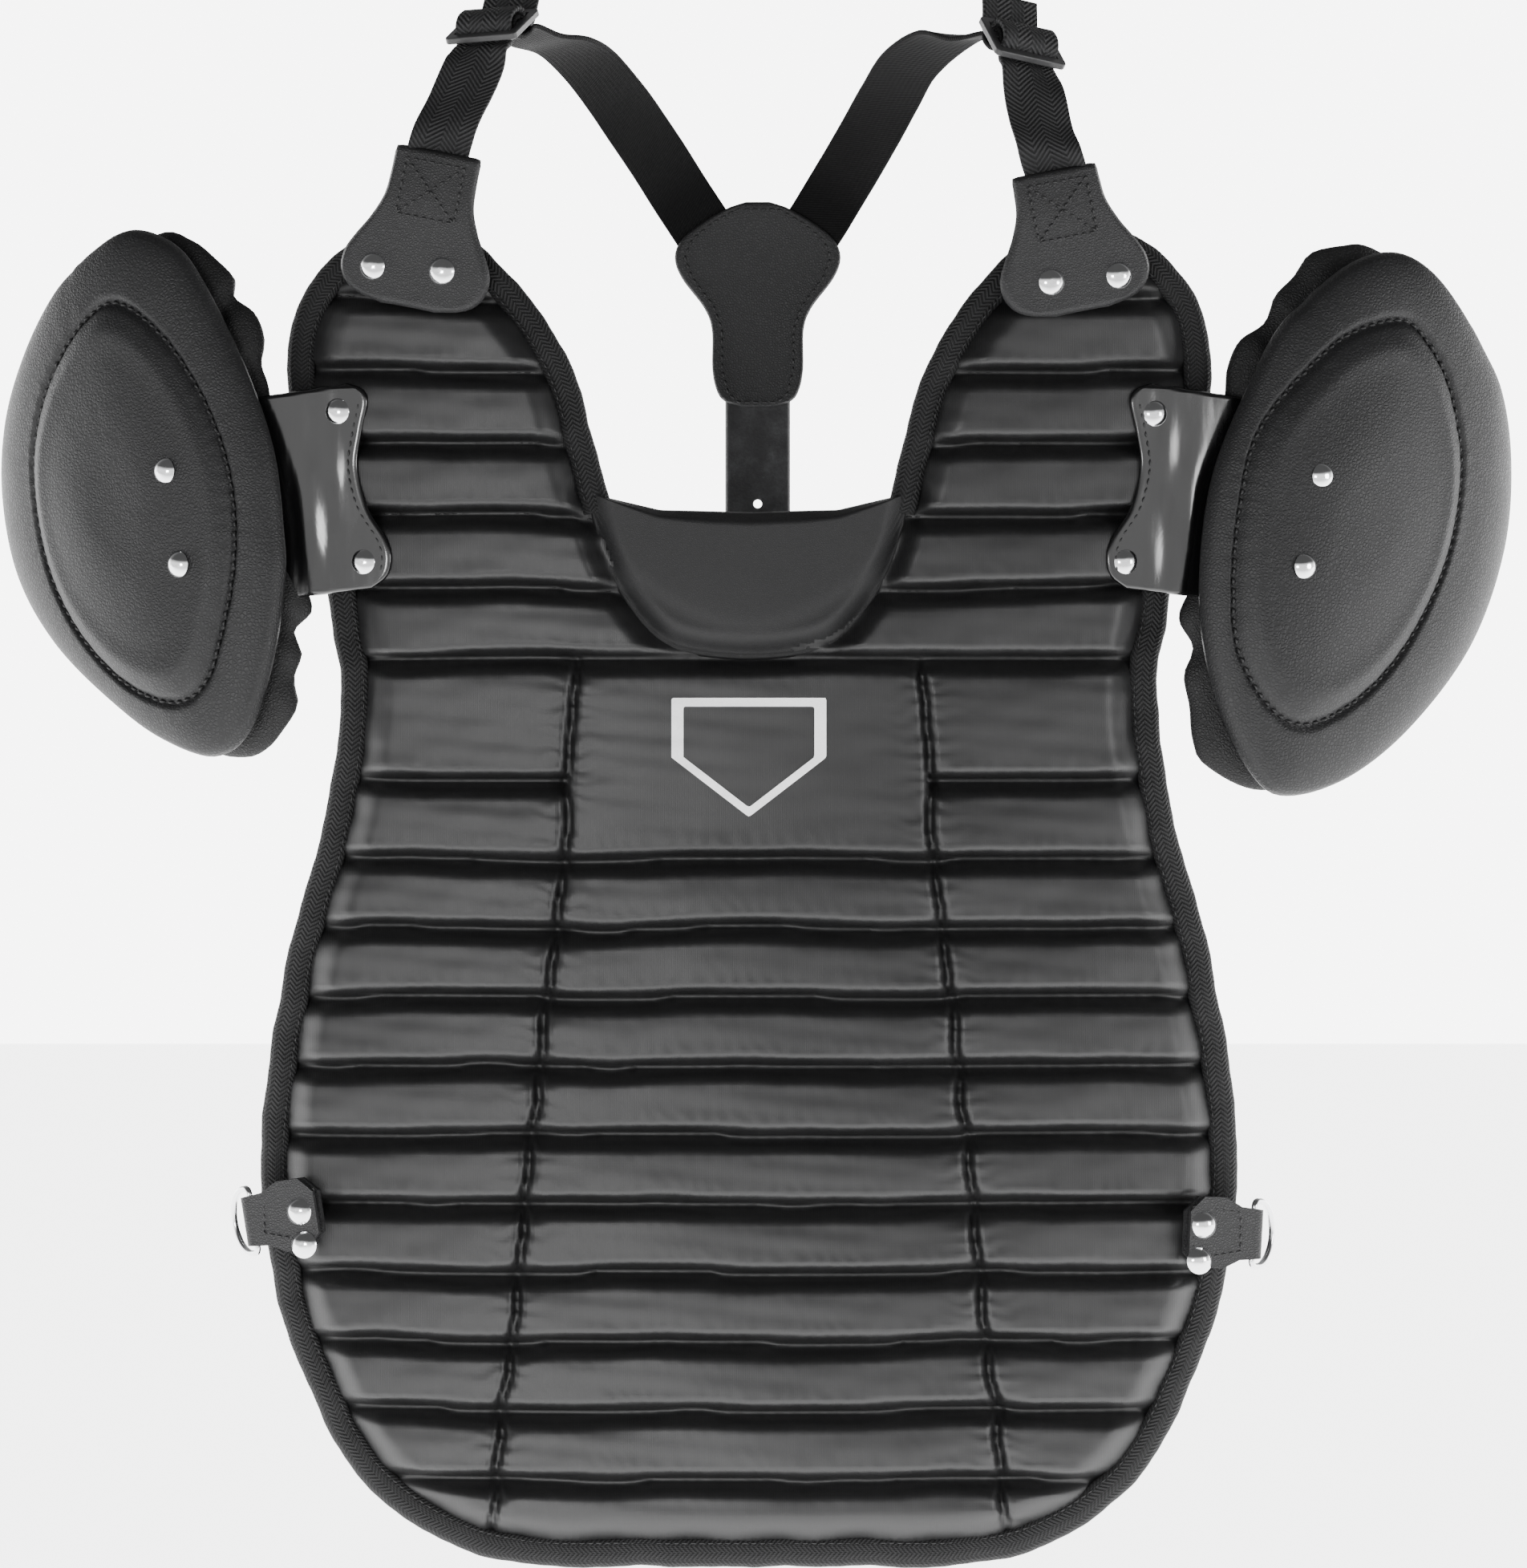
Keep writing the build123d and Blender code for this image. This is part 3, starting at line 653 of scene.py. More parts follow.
def ribbon(name, stations, width, thickness, look, step):
    """A flat strap through stations, each a point and the direction of its width."""
    rows = np.array([list(p) + list(a) for p, a in stations], float)
    path = spread(curve(rows, step), step)
    centre, across = path[:, :3], path[:, 3:]
    ahead = unit(np.gradient(centre, axis=0))
    across = unit(across - ahead * (across * ahead).sum(axis=1, keepdims=True))
    over = np.cross(across, ahead)
    half, t = width / 2, thickness / 2
    top = [(-half + 0.25, t), (-half * 0.9, t), (-half / 2, t * 0.96), (0, t), (half / 2, t * 0.96),
           (half * 0.9, t), (half - 0.25, t), (half, 0)]
    section = np.array(top + [(-x, -y) for x, y in top])
    points = centre[:, None] + across[:, None] * section[None, :, :1] + over[:, None] * section[None, :, 1:]
    strip = np.stack(np.broadcast_arrays(lengths(centre)[:, None], section[None, :, 0]), axis=-1)
    return mend(build(name, points, tube_faces(len(centre), len(section)), look, strip))


def stitches(name, runs, pitch, length, radius):
    """Thread stitches along runs, each a path of points and the surface normals there."""
    swell = radius * np.array([0.35, 0.9, 1.0, 0.9, 0.35])
    sink = radius * np.array([-1.1, 0.1, 0.45, 0.1, -1.1])
    ring, rows = 6, len(swell)
    turn = turns(ring)[None, :, None]
    pattern = tube_faces(rows, ring)
    points, faces = [], []
    for path, normals in runs:
        both = spread(np.hstack([path, normals]), 0.4)
        along = lengths(both[:, :3])
        if along[-1] < length:
            continue
        for middle in np.arange(pitch / 2, along[-1], pitch):
            at = np.linspace(middle - length / 2, middle + length / 2, rows)
            line = sample(both, along, at)
            out = unit(line[:, 3:])
            side = np.cross(unit(np.gradient(line[:, :3], axis=0)), out)
            loop = side[:, None] * np.cos(turn) + out[:, None] * np.sin(turn)
            body = line[:, None, :3] + out[:, None] * sink[:, None, None] + loop * swell[:, None, None]
            base = len(points) * ring * rows
            points.append(body.reshape(-1, 3))
            faces += [[base + k for k in face] for face in pattern]
    return build(name, np.vstack(points), faces, "stitching")


def hold(made, body, slot, *nodes):
    """Rides the piece on its body, and hides the frame parts that it stands for."""
    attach(made, body)
    if nodes:
        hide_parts(*nodes)


def bend(made, first, second, low, high, slot, *nodes):
    """Hides the frame parts that the piece stands for, and bakes its placement into its mesh; the two bodies
    and the two points are not used.
    """
    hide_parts(*nodes)
    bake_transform(made)


def paint(node, look):
    """Gives a CAD node this finish."""
    node.data.materials.clear()
    node.data.materials.append(finish(look))


def box_of(name):
    """Lowest and highest corner of a CAD node, in millimetres."""
    return (np.array(corner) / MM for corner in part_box(name))


# ---------------------------------------------------------------- the quilted panel

def on_panel(x, z, height):
    """Points at a height over the panel's back face."""
    back = panel_sizes().back_radius
    return np.stack(np.broadcast_arrays(x, back - np.sqrt((back + height) ** 2 - x**2), z), axis=-1)


def panel_out(x):
    """Outward normals of the panel's cover."""
    turn = np.arcsin(np.asarray(x) / (panel_sizes().back_radius + 14))
    return np.stack([np.sin(turn), -np.cos(turn), np.zeros_like(turn)], axis=-1)


def panel_grid(step):
    """Evenly spaced places over the panel's front view."""
    (left, bottom), (right, top) = PANEL_CORNERS
    return np.meshgrid(np.arange(left, right + 0.1, step), np.arange(bottom, top + 0.1, step))


def mirrored(points):
    return [(-x, z) for x, z in points]


def traced(points):
    """A smooth outline through points, fine enough for distances from it."""
    return spread(curve(points, 1.5), 1.5)


def rim_path():
    """The panel's edge from the right end of the collar, round the bottom, to the left end."""
    return traced(EDGE[::-1] + mirrored(EDGE[1:]))


def panel_loop():
    """The panel's whole outline, closed over the collar."""
    return np.vstack([rim_path(), mirrored(COLLAR_TOP)[1:], COLLAR_TOP[1:2]])


def collar_path():
    """The sewn lower edge of the collar, from left to right."""
    return traced(mirrored(COLLAR_EDGE)[::-1] + COLLAR_EDGE[1:])


def collar_loop():
    """The collar's whole outline."""
    return np.vstack([collar_path(), COLLAR_TOP[1:], mirrored(COLLAR_TOP)[::-1][1:]])


def nearest(path, x, z):
    """Distance of each grid point from a path."""
    tree = kdtree.KDTree(len(path))
    for k, (a, b) in enumerate(path):
        tree.insert((a, b, 0), k)
    tree.balance()
    flat = [tree.find((a, b, 0))[2] for a, b in zip(x.ravel().tolist(), z.ravel().tolist())]
    return np.array(flat).reshape(x.shape)


def within(path, x, z):
    """True inside a closed path, row by row."""
    a, b = path, np.roll(path, -1, axis=0)
    result = np.zeros(x.shape, bool)
    for i, level in enumerate(z[:, 0]):
        hit = (a[:, 1] > level) != (b[:, 1] > level)
        cross = np.sort(a[hit, 0] + (level - a[hit, 1]) / (b[hit, 1] - a[hit, 1]) * (b[hit, 0] - a[hit, 0]))
        result[i] = np.searchsorted(cross, x[i]) % 2 == 1
    return result


def bar_shape(z, rows):
    """0 at each seam and 1 on a bar's face: a sloping shoulder under the upper seam, a full lower edge."""
    rows = np.sort(rows)
    k = np.clip(np.searchsorted(rows, z) - 1, 0, len(rows) - 2)
    below, above = z - rows[k], rows[k + 1] - z
    face = 0.93 + 0.07 * smooth(above / 14)
    upper = 1 - (1 - np.clip(above / 6.5, 0, 1)) ** 1.7
    lower = np.clip(below / 3.2, 0, 1) ** 0.5
    return face * upper * lower, np.minimum(below, above)


def waver(x, z):
    """How far the sewn rows stray from straight."""
    return wobble(x, z, 120, 3) * 0.55 + wobble(x, z, 40, 5) * 0.3


def quilt_height(x, z, rim, collar):
    """Height of the cover over the back face, and the distance to the closest seam."""
    sizes = panel_sizes()
    level = z + waver(x, z) + np.where(z > 90, (100 - np.abs(x)) * SHOULDER_DROOP, 0)
    seam_x = np.interp(z, *np.array(SIDE_SEAM).T[::-1])
    to_side = np.where(z < CHEST_TOP, np.abs(np.abs(x) - seam_x + wobble(z, x * 0, 22, 8) * 0.7), 99)
    centre, centre_seam = bar_shape(level, CENTRE_ROWS)
    side, side_seam = bar_shape(level, SIDE_ROWS)
    shoulder, shoulder_seam = bar_shape(level, SHOULDER_ROWS)
    upper, inner = z > CHEST_TOP, np.abs(x) < seam_x
    bar = np.where(upper, shoulder, np.where(inner, centre, side))
    seam = np.where(upper, shoulder_seam, np.where(inner, centre_seam, side_seam))
    # The bars sink at the vertical seams, at the bound edge and at the collar
    edge = nearest(rim, x, z)
    pull = 0.42 + 0.58 * smooth(to_side / 2.8) ** 0.6
    fall = 0.12 + 0.88 * smooth((edge - 7.0) / 11) ** 0.6
    fall = fall * (0.25 + 0.75 * smooth(nearest(collar, x, z) / 8))
    flatter = np.where(~upper & inner & (z > 8), 0.86, 1.0)
    rise = sizes.loft * bar * pull * fall * flatter
    # The cloth gathers along the seams and at the edge, and creases a little between them
    pucker = np.sin(z / 5.1 * 2 * pi + wobble(x, z, 18, 11) * 2.2) * np.exp(-to_side / 4.5) * 0.5
    gather = np.sin((x + z * 0.35) / 6.3 * 2 * pi + wobble(x, z, 25, 12) * 2.6) * np.exp(-seam / 3.2) * 0.32
    edge_pull = np.sin(np.arctan2(z + 20, x) * 46) * np.exp(-np.maximum(edge - 9, 0) / 5) * 0.55
    crease = wobble(x * 0.5, z * 2, 17, 21) * 0.12 + wobble(x * 0.6, z, 42, 22) * 0.4
    height = sizes.base + rise + (pucker + gather + edge_pull) * (0.35 + 0.65 * bar) + crease * bar
    cross = np.exp(-(to_side**2 + seam**2) / 30)
    return height - 1.4 * cross, np.minimum(seam, to_side)


def row_seam(row, sign, rim, collar):
    """The visible part of a shoulder seam, as a run of places and normals for stitches."""
    x = np.arange(40, 160, 1.0) * sign
    z = row + (np.abs(x) - 100) * SHOULDER_DROOP
    z = z - waver(x, z)
    seen = within(rim, x[None], np.full((1, len(x)), z.mean()))[0]
    seen &= (nearest(rim, x, z) > 10) & (nearest(collar, x, z) > 3)
    x, z = x[seen], z[seen]
    return on_panel(x, z, quilt_height(x, z, rim, collar)[0] + 0.35), panel_out(x)


class PROTECTOR_OT_cover(bpy.types.Operator):
    """Builds the quilted front cover over its foam bars"""
    bl_idname = "protector.cover"
    bl_label = "Quilted cover"

    def execute(self, context):
        rim, collar = rim_path(), collar_path()
        x, z = panel_grid(panel_sizes().mesh)
        height, _ = quilt_height(x, z, rim, collar)
        under_collar = within(collar_loop(), x, z) & (nearest(collar, x, z) >= 2.2)
        keep = within(panel_loop(), x, z) & (nearest(rim, x, z) > 3.2) & ~under_collar
        points, faces = trimmed(on_panel(x, z, height), keep)
        made = build("quilted_cover", points, faces[:, ::-1], "satin_nylon")
        foams = [side + part for side in SIDES for part in ("_side_foam", "_shoulder_foam")]
        hold(made, "panel", "satin_nylon", "front_cover", "centre_foam", *foams)
        runs = [row_seam(row, sign, rim, collar) for sign in SIDES.values() for row in SHOULDER_ROWS[1:-1]]
        hold(stitches("quilt_stitches", runs, 3.1, 2.3, 0.34), "panel", "satin_nylon")
        return {"FINISHED"}


class PROTECTOR_OT_lining(bpy.types.Operator):
    """Builds the lining on the panel's back"""
    bl_idname = "protector.lining"
    bl_label = "Back lining"

    def execute(self, context):
        rim = rim_path()
        x, z = panel_grid(2.4)
        _, seam = quilt_height(x, z, rim, collar_path())
        height = 0.15 - 0.75 * smooth(seam / 9) + wobble(x, z, 40, 31) * 0.1
        neck = spread(np.vstack([rim[-1:], [(-30, 125), (0, 124), (30, 125)], rim[:1]]), 1.5)
        keep = within(panel_loop(), x, z) & (nearest(rim, x, z) > 3) & (nearest(neck, x, z) > 4)
        points, faces = trimmed(on_panel(x, z, height), keep)
        hold(build("lining", points, faces, "lining"), "panel", "lining", "back_lining")
        return {"FINISHED"}


class PROTECTOR_OT_binding(bpy.types.Operator):
    """Builds the tape folded over the panel's edge"""
    bl_idname = "protector.binding"
    bl_label = "Edge binding"

    def execute(self, context):
        # The tape runs on a little past the collar's corners
        rim = traced([(46.3, 125.5)] + EDGE[::-1] + mirrored(EDGE[1:]) + [(-46.3, 125.5)])
        ahead = unit(np.gradient(rim, axis=0))
        inward = np.stack([ahead[:, 1], -ahead[:, 0]], axis=1)
        width = panel_sizes().binding
        # Distance in from the edge, and height over the back face
        section = np.array([
            (width, 5.4), (width - 0.1, 7.6), (width - 0.8, 8.4), (width * 0.7, 9.2), (width * 0.4, 9.3),
            (1.3, 8.6), (0.2, 7.2), (-0.2, 5.0), (0.1, 2.2), (1.0, 0.2), (3, -0.9), (width * 0.6, -1.3),
            (width - 0.4, -1.1), (width, -0.1)])
        along = lengths(rim)
        ripple = (wobble(along, along * 0, 19, 41) * 0.35 + wobble(along, along * 0, 7, 42) * 0.18)[:, None]
        inset = section[None, :, 0] + ripple * 0.9
        spot = rim[:, None] + inward[:, None] * inset[..., None]
        points = on_panel(spot[..., 0], spot[..., 1], section[None, :, 1] + ripple)
        strip = np.stack(np.broadcast_arrays(along[:, None], lengths(section)[None]), axis=-1)
        made = build("edge_tape", points, tube_faces(len(rim), len(section)), "binding_tape", strip)
        hold(mend(made), "panel", "binding", "edge_binding")
        line = rim[3:-3] + inward[3:-3] * (width - 1.6)
        run = on_panel(line[:, 0], line[:, 1], 9.0)
        thread = stitches("binding_stitches", [(run, panel_out(line[:, 0]))], 2.9, 2.1, 0.24)
        hold(thread, "panel", "binding")
        return {"FINISHED"}


class PROTECTOR_OT_collar(bpy.types.Operator):
    """Builds the smooth insert below the neck"""
    bl_idname = "protector.collar"
    bl_label = "Collar insert"

    def execute(self, context):
        sewn = collar_path()
        lower = evenly(spread(curve(sewn[::4], 1), 1.4), 90)
        upper = evenly(spread(np.array(mirrored(COLLAR_TOP) + COLLAR_TOP[::-1][1:]), 1.4), 90)
        v = np.linspace(-0.03, 1, 44)
        x, z = between(lower, upper, v)
        edge = np.minimum(nearest(sewn, x, z), (1 - v[:, None]) * 90)
        crown = 7.2 + 5.6 * smooth(edge / 7) ** 0.7 + wobble(x, z, 60, 51) * 0.35
        fold = np.exp(-((z - 84 - x**2 * 0.012) / 3.5) ** 2) * 0.5
        made = slab("collar_cover", on_panel(x, z, crown - fold), FORWARD, 2.5, "collar_vinyl",
                    on_panel(x, z, 0.9))
        hold(made, "panel", "collar_vinyl", "collar_insert")
        return {"FINISHED"}


def between(first, last, shares):
    """A grid of places from one path to another, at these shares of the way."""
    v = shares[:, None, None]
    return np.moveaxis(first[None] * (1 - v) + last[None] * v, -1, 0)


class PROTECTOR_OT_mark(bpy.types.Operator):
    """Lays a plain home-plate outline on the centre panel"""
    bl_idname = "protector.mark"
    bl_label = "Printed mark"

    def execute(self, context):
        (left, _, bottom), (right, _, top) = box_of("printed_mark")
        middle, shoulder, line = (left + right) / 2, (bottom + top) / 2, 4.0
        outer = np.array([(left, shoulder), (left, top), (right, top), (right, shoulder), (middle, bottom)])
        centre = np.array([middle, shoulder + 1])
        inner = centre + (outer - centre) * (1 - 2 * line / (right - left))
        outer, inner = (evenly(spread(closed(path), 1.0), 170) for path in (outer, inner))
        x, z = between(outer, inner, np.linspace(0, 1, 5))
        height, _ = quilt_height(x, z, rim_path(), collar_path())
        made = build("home_plate_mark", on_panel(x, z, height + 0.14), grid_faces(*x.shape), "white_print")
        hold(made, "panel", "white_print", "printed_mark")
        return {"FINISHED"}


# ---------------------------------------------------------------- leather tabs and patches

def rounded(pairs, step, at):
    """Values at these places along a smooth curve through pairs of place and value."""
    line = curve(pairs, step)
    return np.interp(at, *line[np.argsort(line[:, 0])].T)


def leaf(half_widths, columns=27, rows=46):
    """A grid over a shape given as pairs of height and half width."""
    v = np.linspace(half_widths[0][0], half_widths[-1][0], rows)
    half = rounded(half_widths, 0.6, v)
    return half[:, None] * np.linspace(-1, 1, columns), np.broadcast_to(v[:, None], (rows, columns))


def leather_piece(name, body, node, shape, place, outward, thickness, seams):
    """A sewn leather piece whose outline and seams are mapped into space by place(u, v, lift)."""
    made = slab(name, place(*leaf(shape), 0.0), outward, thickness, "smooth_leather")
    hold(made, body, "smooth_leather", node)
    runs = []
    for seam in seams:
        u, v = spread(np.array(seam, float), 0.6).T
        on = place(u, v, 0.12)
        runs.append((on, unit(place(u, v, 1.12) - on)))
    hold(stitches(name + "_stitches", runs, 2.9, 2.2, 0.42), body, "smooth_leather")


TAB_SHAPE = [(0, 9), (0.8, 15), (3.5, 21), (8, 24), (13.5, 24), (19, 21.5), (26, 17.5), (34, 14.4),
             (42, 13.6)]
# Each tab's foot in the front view, its lean in degrees and its height
TABS = {"left": ((-115, 195), 11.5, 51), "right": ((112.3, 193.6), -11.5, 46)}
TAB_LEVEL = 17.6


def on_tab(foot, lean, u, v, lift):
    """Points on a shoulder tab, across it and up it from its foot."""
    turn = radians(lean)
    x = foot[0] + u * cos(turn) + v * sin(turn)
    z = foot[1] - u * sin(turn) + v * cos(turn)
    dip = wobble(u, v, 45, 61) * 0.25 - smooth((v - 30) / 30) * 2.0
    return on_panel(x, z, TAB_LEVEL + lift + dip)


class PROTECTOR_OT_shoulder_tabs(bpy.types.Operator):
    """Builds the leather tabs on the shoulders, with a crossed box of stitches"""
    bl_idname = "protector.shoulder_tabs"
    bl_label = "Shoulder tabs"

    def execute(self, context):
        for side, (foot, lean, height) in TABS.items():
            low, high = height - 22, height - 3
            box = closed([(-10, low), (10, low), (10, high), (-10, high)])
            seams = [box, [(-10, low), (10, high)], [(10, low), (-10, high)]]
            leather_piece(side + "_tab_leather", "panel", side + "_shoulder_tab",
                          TAB_SHAPE + [(height, 13.5)], partial(on_tab, foot, lean), FORWARD, 3.2, seams)
        return {"FINISHED"}


YOKE_SHAPE = [(164, 5), (165, 9.5), (168, 13), (176, 15), (190, 15.2), (198, 18), (208, 25.5), (215, 28),
              (221, 25.5), (227, 18), (231.5, 10), (233.5, 4)]
LOWER_SHAPE = [(-72, 16), (-71, 19), (-67, 24), (-62, 25), (-50, 21), (-34, 16), (-24, 13.2), (-22, 11)]
PATCHES = (("yoke_patch", "harness", YOKE_SHAPE), ("lower_patch", "back_harness", LOWER_SHAPE))


def on_patch(centre, level, sign, u, v, lift):
    """Points on a flat patch that faces forward or back."""
    bulge = wobble(u, v, 50, 71) * 0.2
    return np.stack(np.broadcast_arrays(centre + u, level + sign * (lift + bulge), v), axis=-1)


class PROTECTOR_OT_patches(bpy.types.Operator):
    """Builds the two leather patches that join the straps"""
    bl_idname = "protector.patches"
    bl_label = "Strap patches"

    def execute(self, context):
        for label, body, shape in PATCHES:
            inset = [(width - 2.8, height) for height, width in shape if width > 9]
            seam = closed(inset + mirrored(inset)[::-1])
            for face, sign in (("front", -1), ("back", 1)):
                low, high = box_of(label + "_" + face)
                level = low[1] if face == "front" else high[1]
                place = partial(on_patch, (low[0] + high[0]) / 2, level, sign)
                leather_piece(label + "_leather_" + face, body, label + "_" + face, shape, place,
                              FORWARD * -sign, LEATHER, [seam])
        return {"FINISHED"}


class PROTECTOR_OT_side_tabs(bpy.types.Operator):
    """Finishes the folded side tabs and sews them"""
    bl_idname = "protector.side_tabs"
    bl_label = "Side tabs"

    def execute(self, context):
        for side in SIDES:
            paint(frame["nodes"][side + "_side_tab"], "smooth_leather")
            low, high = box_of(side + "_side_tab")
            inner, outer = sorted((low[0], high[0]), key=abs)
            middle = (low[2] + high[2]) / 2
            a, b = inner + (outer - inner) * 0.14, inner + (outer - inner) * 0.72
            box = closed([(a, middle - 9), (a, middle + 9), (b, middle + 6.5), (b, middle - 6.5)])
            x, z = spread(box, 0.6).T
            run = on_panel(x, z, 21.0), panel_out(x)
            hold(stitches(side + "_side_tab_stitches", [run], 2.8, 2.1, 0.3), "panel", "smooth_leather")
        return {"FINISHED"}


# ---------------------------------------------------------------- flaps

# The edge on the panel, as a share of the way up and the distance from the middle
FLAP_INNER = [(0, 127.5), (0.05, 122.6), (0.14, 121.2), (0.24, 123.2), (0.40, 129.6), (0.60, 132.8),
              (0.78, 131.2), (0.92, 129.3), (0.98, 131.5), (1, 136)]
FLAP_OUTER, FLAP_LEVEL, FLAP_TURN = 206, 16.6, 24.5
# Lower and upper end of each bending line
HINGES = {"left": ((-146, 10.4, 92), (-160, 15.9, 167)), "right": ((146, 10.4, 92), (160.5, 16, 167))}


class PROTECTOR_OT_flaps(bpy.types.Operator):
    """Builds each glossy flap in one piece, bending between the panel and its cap"""
    bl_idname = "protector.flaps"
    bl_label = "Flaps"

    def execute(self, context):
        t = np.linspace(0, 1, 60)[:, None]
        inner = rounded(FLAP_INNER, 0.02, t)
        x = inner + (FLAP_OUTER - inner) * np.linspace(0, 1, 64)
        bottom = 99.5 - (x - 128) * 0.11
        top = 167.5 - np.maximum(x - 136, 0) * 0.14
        z = bottom + (top - bottom) * t
        ripple = wobble(x, z * 0.5, 15, 81) * 0.45 * smooth((x - 130) / 12) * smooth((178 - x) / 20)
        for side, sign in SIDES.items():
            low, high = (np.array(end, float) for end in HINGES[side])
            hinge_x = sign * np.interp(z, (low[2], high[2]), (low[0], high[0]))
            flat = on_panel(np.minimum(x, hinge_x), z, FLAP_LEVEL)[..., 1]
            y = flat + np.maximum(x - hinge_x, 0) * np.tan(radians(FLAP_TURN)) + ripple
            points = np.stack([sign * x, y, z], axis=-1)
            made = slab(side + "_flap", points, FORWARD, 1.6, "patent_sheet")
            centre, half = (low + high) / 2, np.array([sign * 7.0, 2.2, 0])
            bend(made, "panel", side + "_cap", centre - half, centre + half,
                 "patent_plastic", side + "_flap_inner", side + "_flap_outer")
            edge = points[4:-4, 0] + unit(points[4:-4, 6] - points[4:-4, 0]) * 2.6 + FORWARD * 0.1
            run = edge, np.tile(FORWARD, (len(edge), 1))
            hold(stitches(side + "_flap_stitches", [run], 3.2, 2.3, 0.28), "panel", "patent_plastic")
        return {"FINISHED"}


# ---------------------------------------------------------------- shoulder caps

def cap_axes(side):
    """Origin and the directions across, up and out of a cap."""
    centre, yaw, lean = CAPS[side]
    sign, yaw, lean = SIDES[side], radians(yaw), radians(lean)
    across = np.array([cos(yaw) * cos(lean), sign * sin(yaw) * cos(lean), -sign * sin(lean)])
    out = np.array([sign * sin(yaw), -cos(yaw), 0])
    return np.array(centre, float), across, np.cross(out, across), out


def on_cap(side, u, v, height):
    """Points on a cap at a height over its bent plate."""
    centre, across, up, out = cap_axes(side)
    radius = cap_sizes().radius
    level = np.sqrt(radius**2 - u**2) - radius + height
    return centre + across * u[..., None] + up * v[..., None] + out * level[..., None]


def middle_of(points):
    return (np.max(points, axis=0) + np.min(points, axis=0)) / 2


def reach(points, u, v):
    """Distance from a closed outline's middle, as a share of the outline's own distance that way."""
    middle = middle_of(points)
    line = curve(points[-3:] + points + points[:3], 1.0) - middle
    turn = np.arctan2(line[:, 1], line[:, 0])
    order = np.argsort(turn)
    u, v = u - middle[0], v - middle[1]
    away = np.interp(np.arctan2(v, u), turn[order], np.hypot(*line[order].T), period=2 * pi)
    return np.hypot(u, v) / away


def around(points, rings, turn):
    """A polar grid over a closed outline: each ring is a share of the outline."""
    middle = middle_of(points)
    away = np.array(rings)[:, None] / reach(points, middle[0] + np.cos(turn), middle[1] + np.sin(turn))
    return middle[0] + away * np.cos(turn), middle[1] + away * np.sin(turn)


def cap_height(side, u, v):
    """Height of the cap's leather over its plate."""
    sizes, seed = cap_sizes(), 90 if side == "left" else 95
    seam, edge = reach(CAP_SEAM[side], u, v), reach(CAP_EDGE[side], u, v)
    flange = sizes.flange * np.sqrt(np.clip(1 - np.clip((edge - 0.60) / 0.41, 0, 1) ** 2.4, 0, 1))
    dome = sizes.dome * (0.45 * smooth((1.0 - seam) / 0.16) ** 0.7 + 0.55 * smooth((1.0 - seam) / 0.75))
    ridge = 0.3 * np.exp(-((seam - 0.84) / 0.07) ** 2)
    groove = 2.0 * np.exp(-((seam - 1.0) / 0.022) ** 2)
    turn = np.arctan2(v, u)
    pucker = np.sin(turn * 47 + wobble(u, v, 60, seed) * 2) * np.exp(-np.abs(seam - 1) / 0.05) * 0.2
    soft = wobble(u, v, 75, seed + 1) * 0.5
    dent = np.exp(-(((u - 6) / 17) ** 2 + ((v - 8) / 34) ** 2))
    return LEATHER + flange + dome + ridge - groove + pucker + (soft - dent) * smooth((1.15 - seam) / 0.3)


class PROTECTOR_OT_caps(bpy.types.Operator):
    """Builds the pebbled leather covers of the shoulder caps and their oval stitching"""
    bl_idname = "protector.caps"
    bl_label = "Cap covers"

    def execute(self, context):
        # The leather turns over the rim in the last five rings
        rings = np.concatenate([np.linspace(0.0, 0.985, 92), [0.997, 1.004, 1.0, 0.975, 0.93]])
        drop = np.concatenate([np.zeros(92), [0.6, 2.2, 3.9, 4.9, 5.1]])[:, None]
        for side in SIDES:
            u, v = around(CAP_EDGE[side], rings, turns(240))
            points = on_cap(side, u, v, cap_height(side, u, v) - drop)
            made = build(side + "_cap_leather", points, grid_faces(*u.shape, ring=True), "pebbled_leather")
            hold(mend(made), side + "_cap", "pebbled_leather", side + "_cap_cover", side + "_dome_foam")
            (u,), (v,) = around(CAP_SEAM[side], [1.0], np.linspace(0, 2 * pi, 400))
            line = on_cap(side, u, v, cap_height(side, u, v) + 0.8)
            run = line, np.tile(cap_axes(side)[3], (len(line), 1))
            hold(stitches(side + "_cap_stitches", [run], 3.4, 2.5, 0.55), side + "_cap", "pebbled_leather")
        return {"FINISHED"}


def lens(name, side, u, v, middle, half, look):
    """A closed pad behind a cap, this much thick on either side of its middle."""
    points = np.vstack([on_cap(side, u, v, middle + half), on_cap(side, u, v, middle - half)[::-1][1:]])
    return mend(build(name, points, grid_faces(*points.shape[:2], ring=True), look))


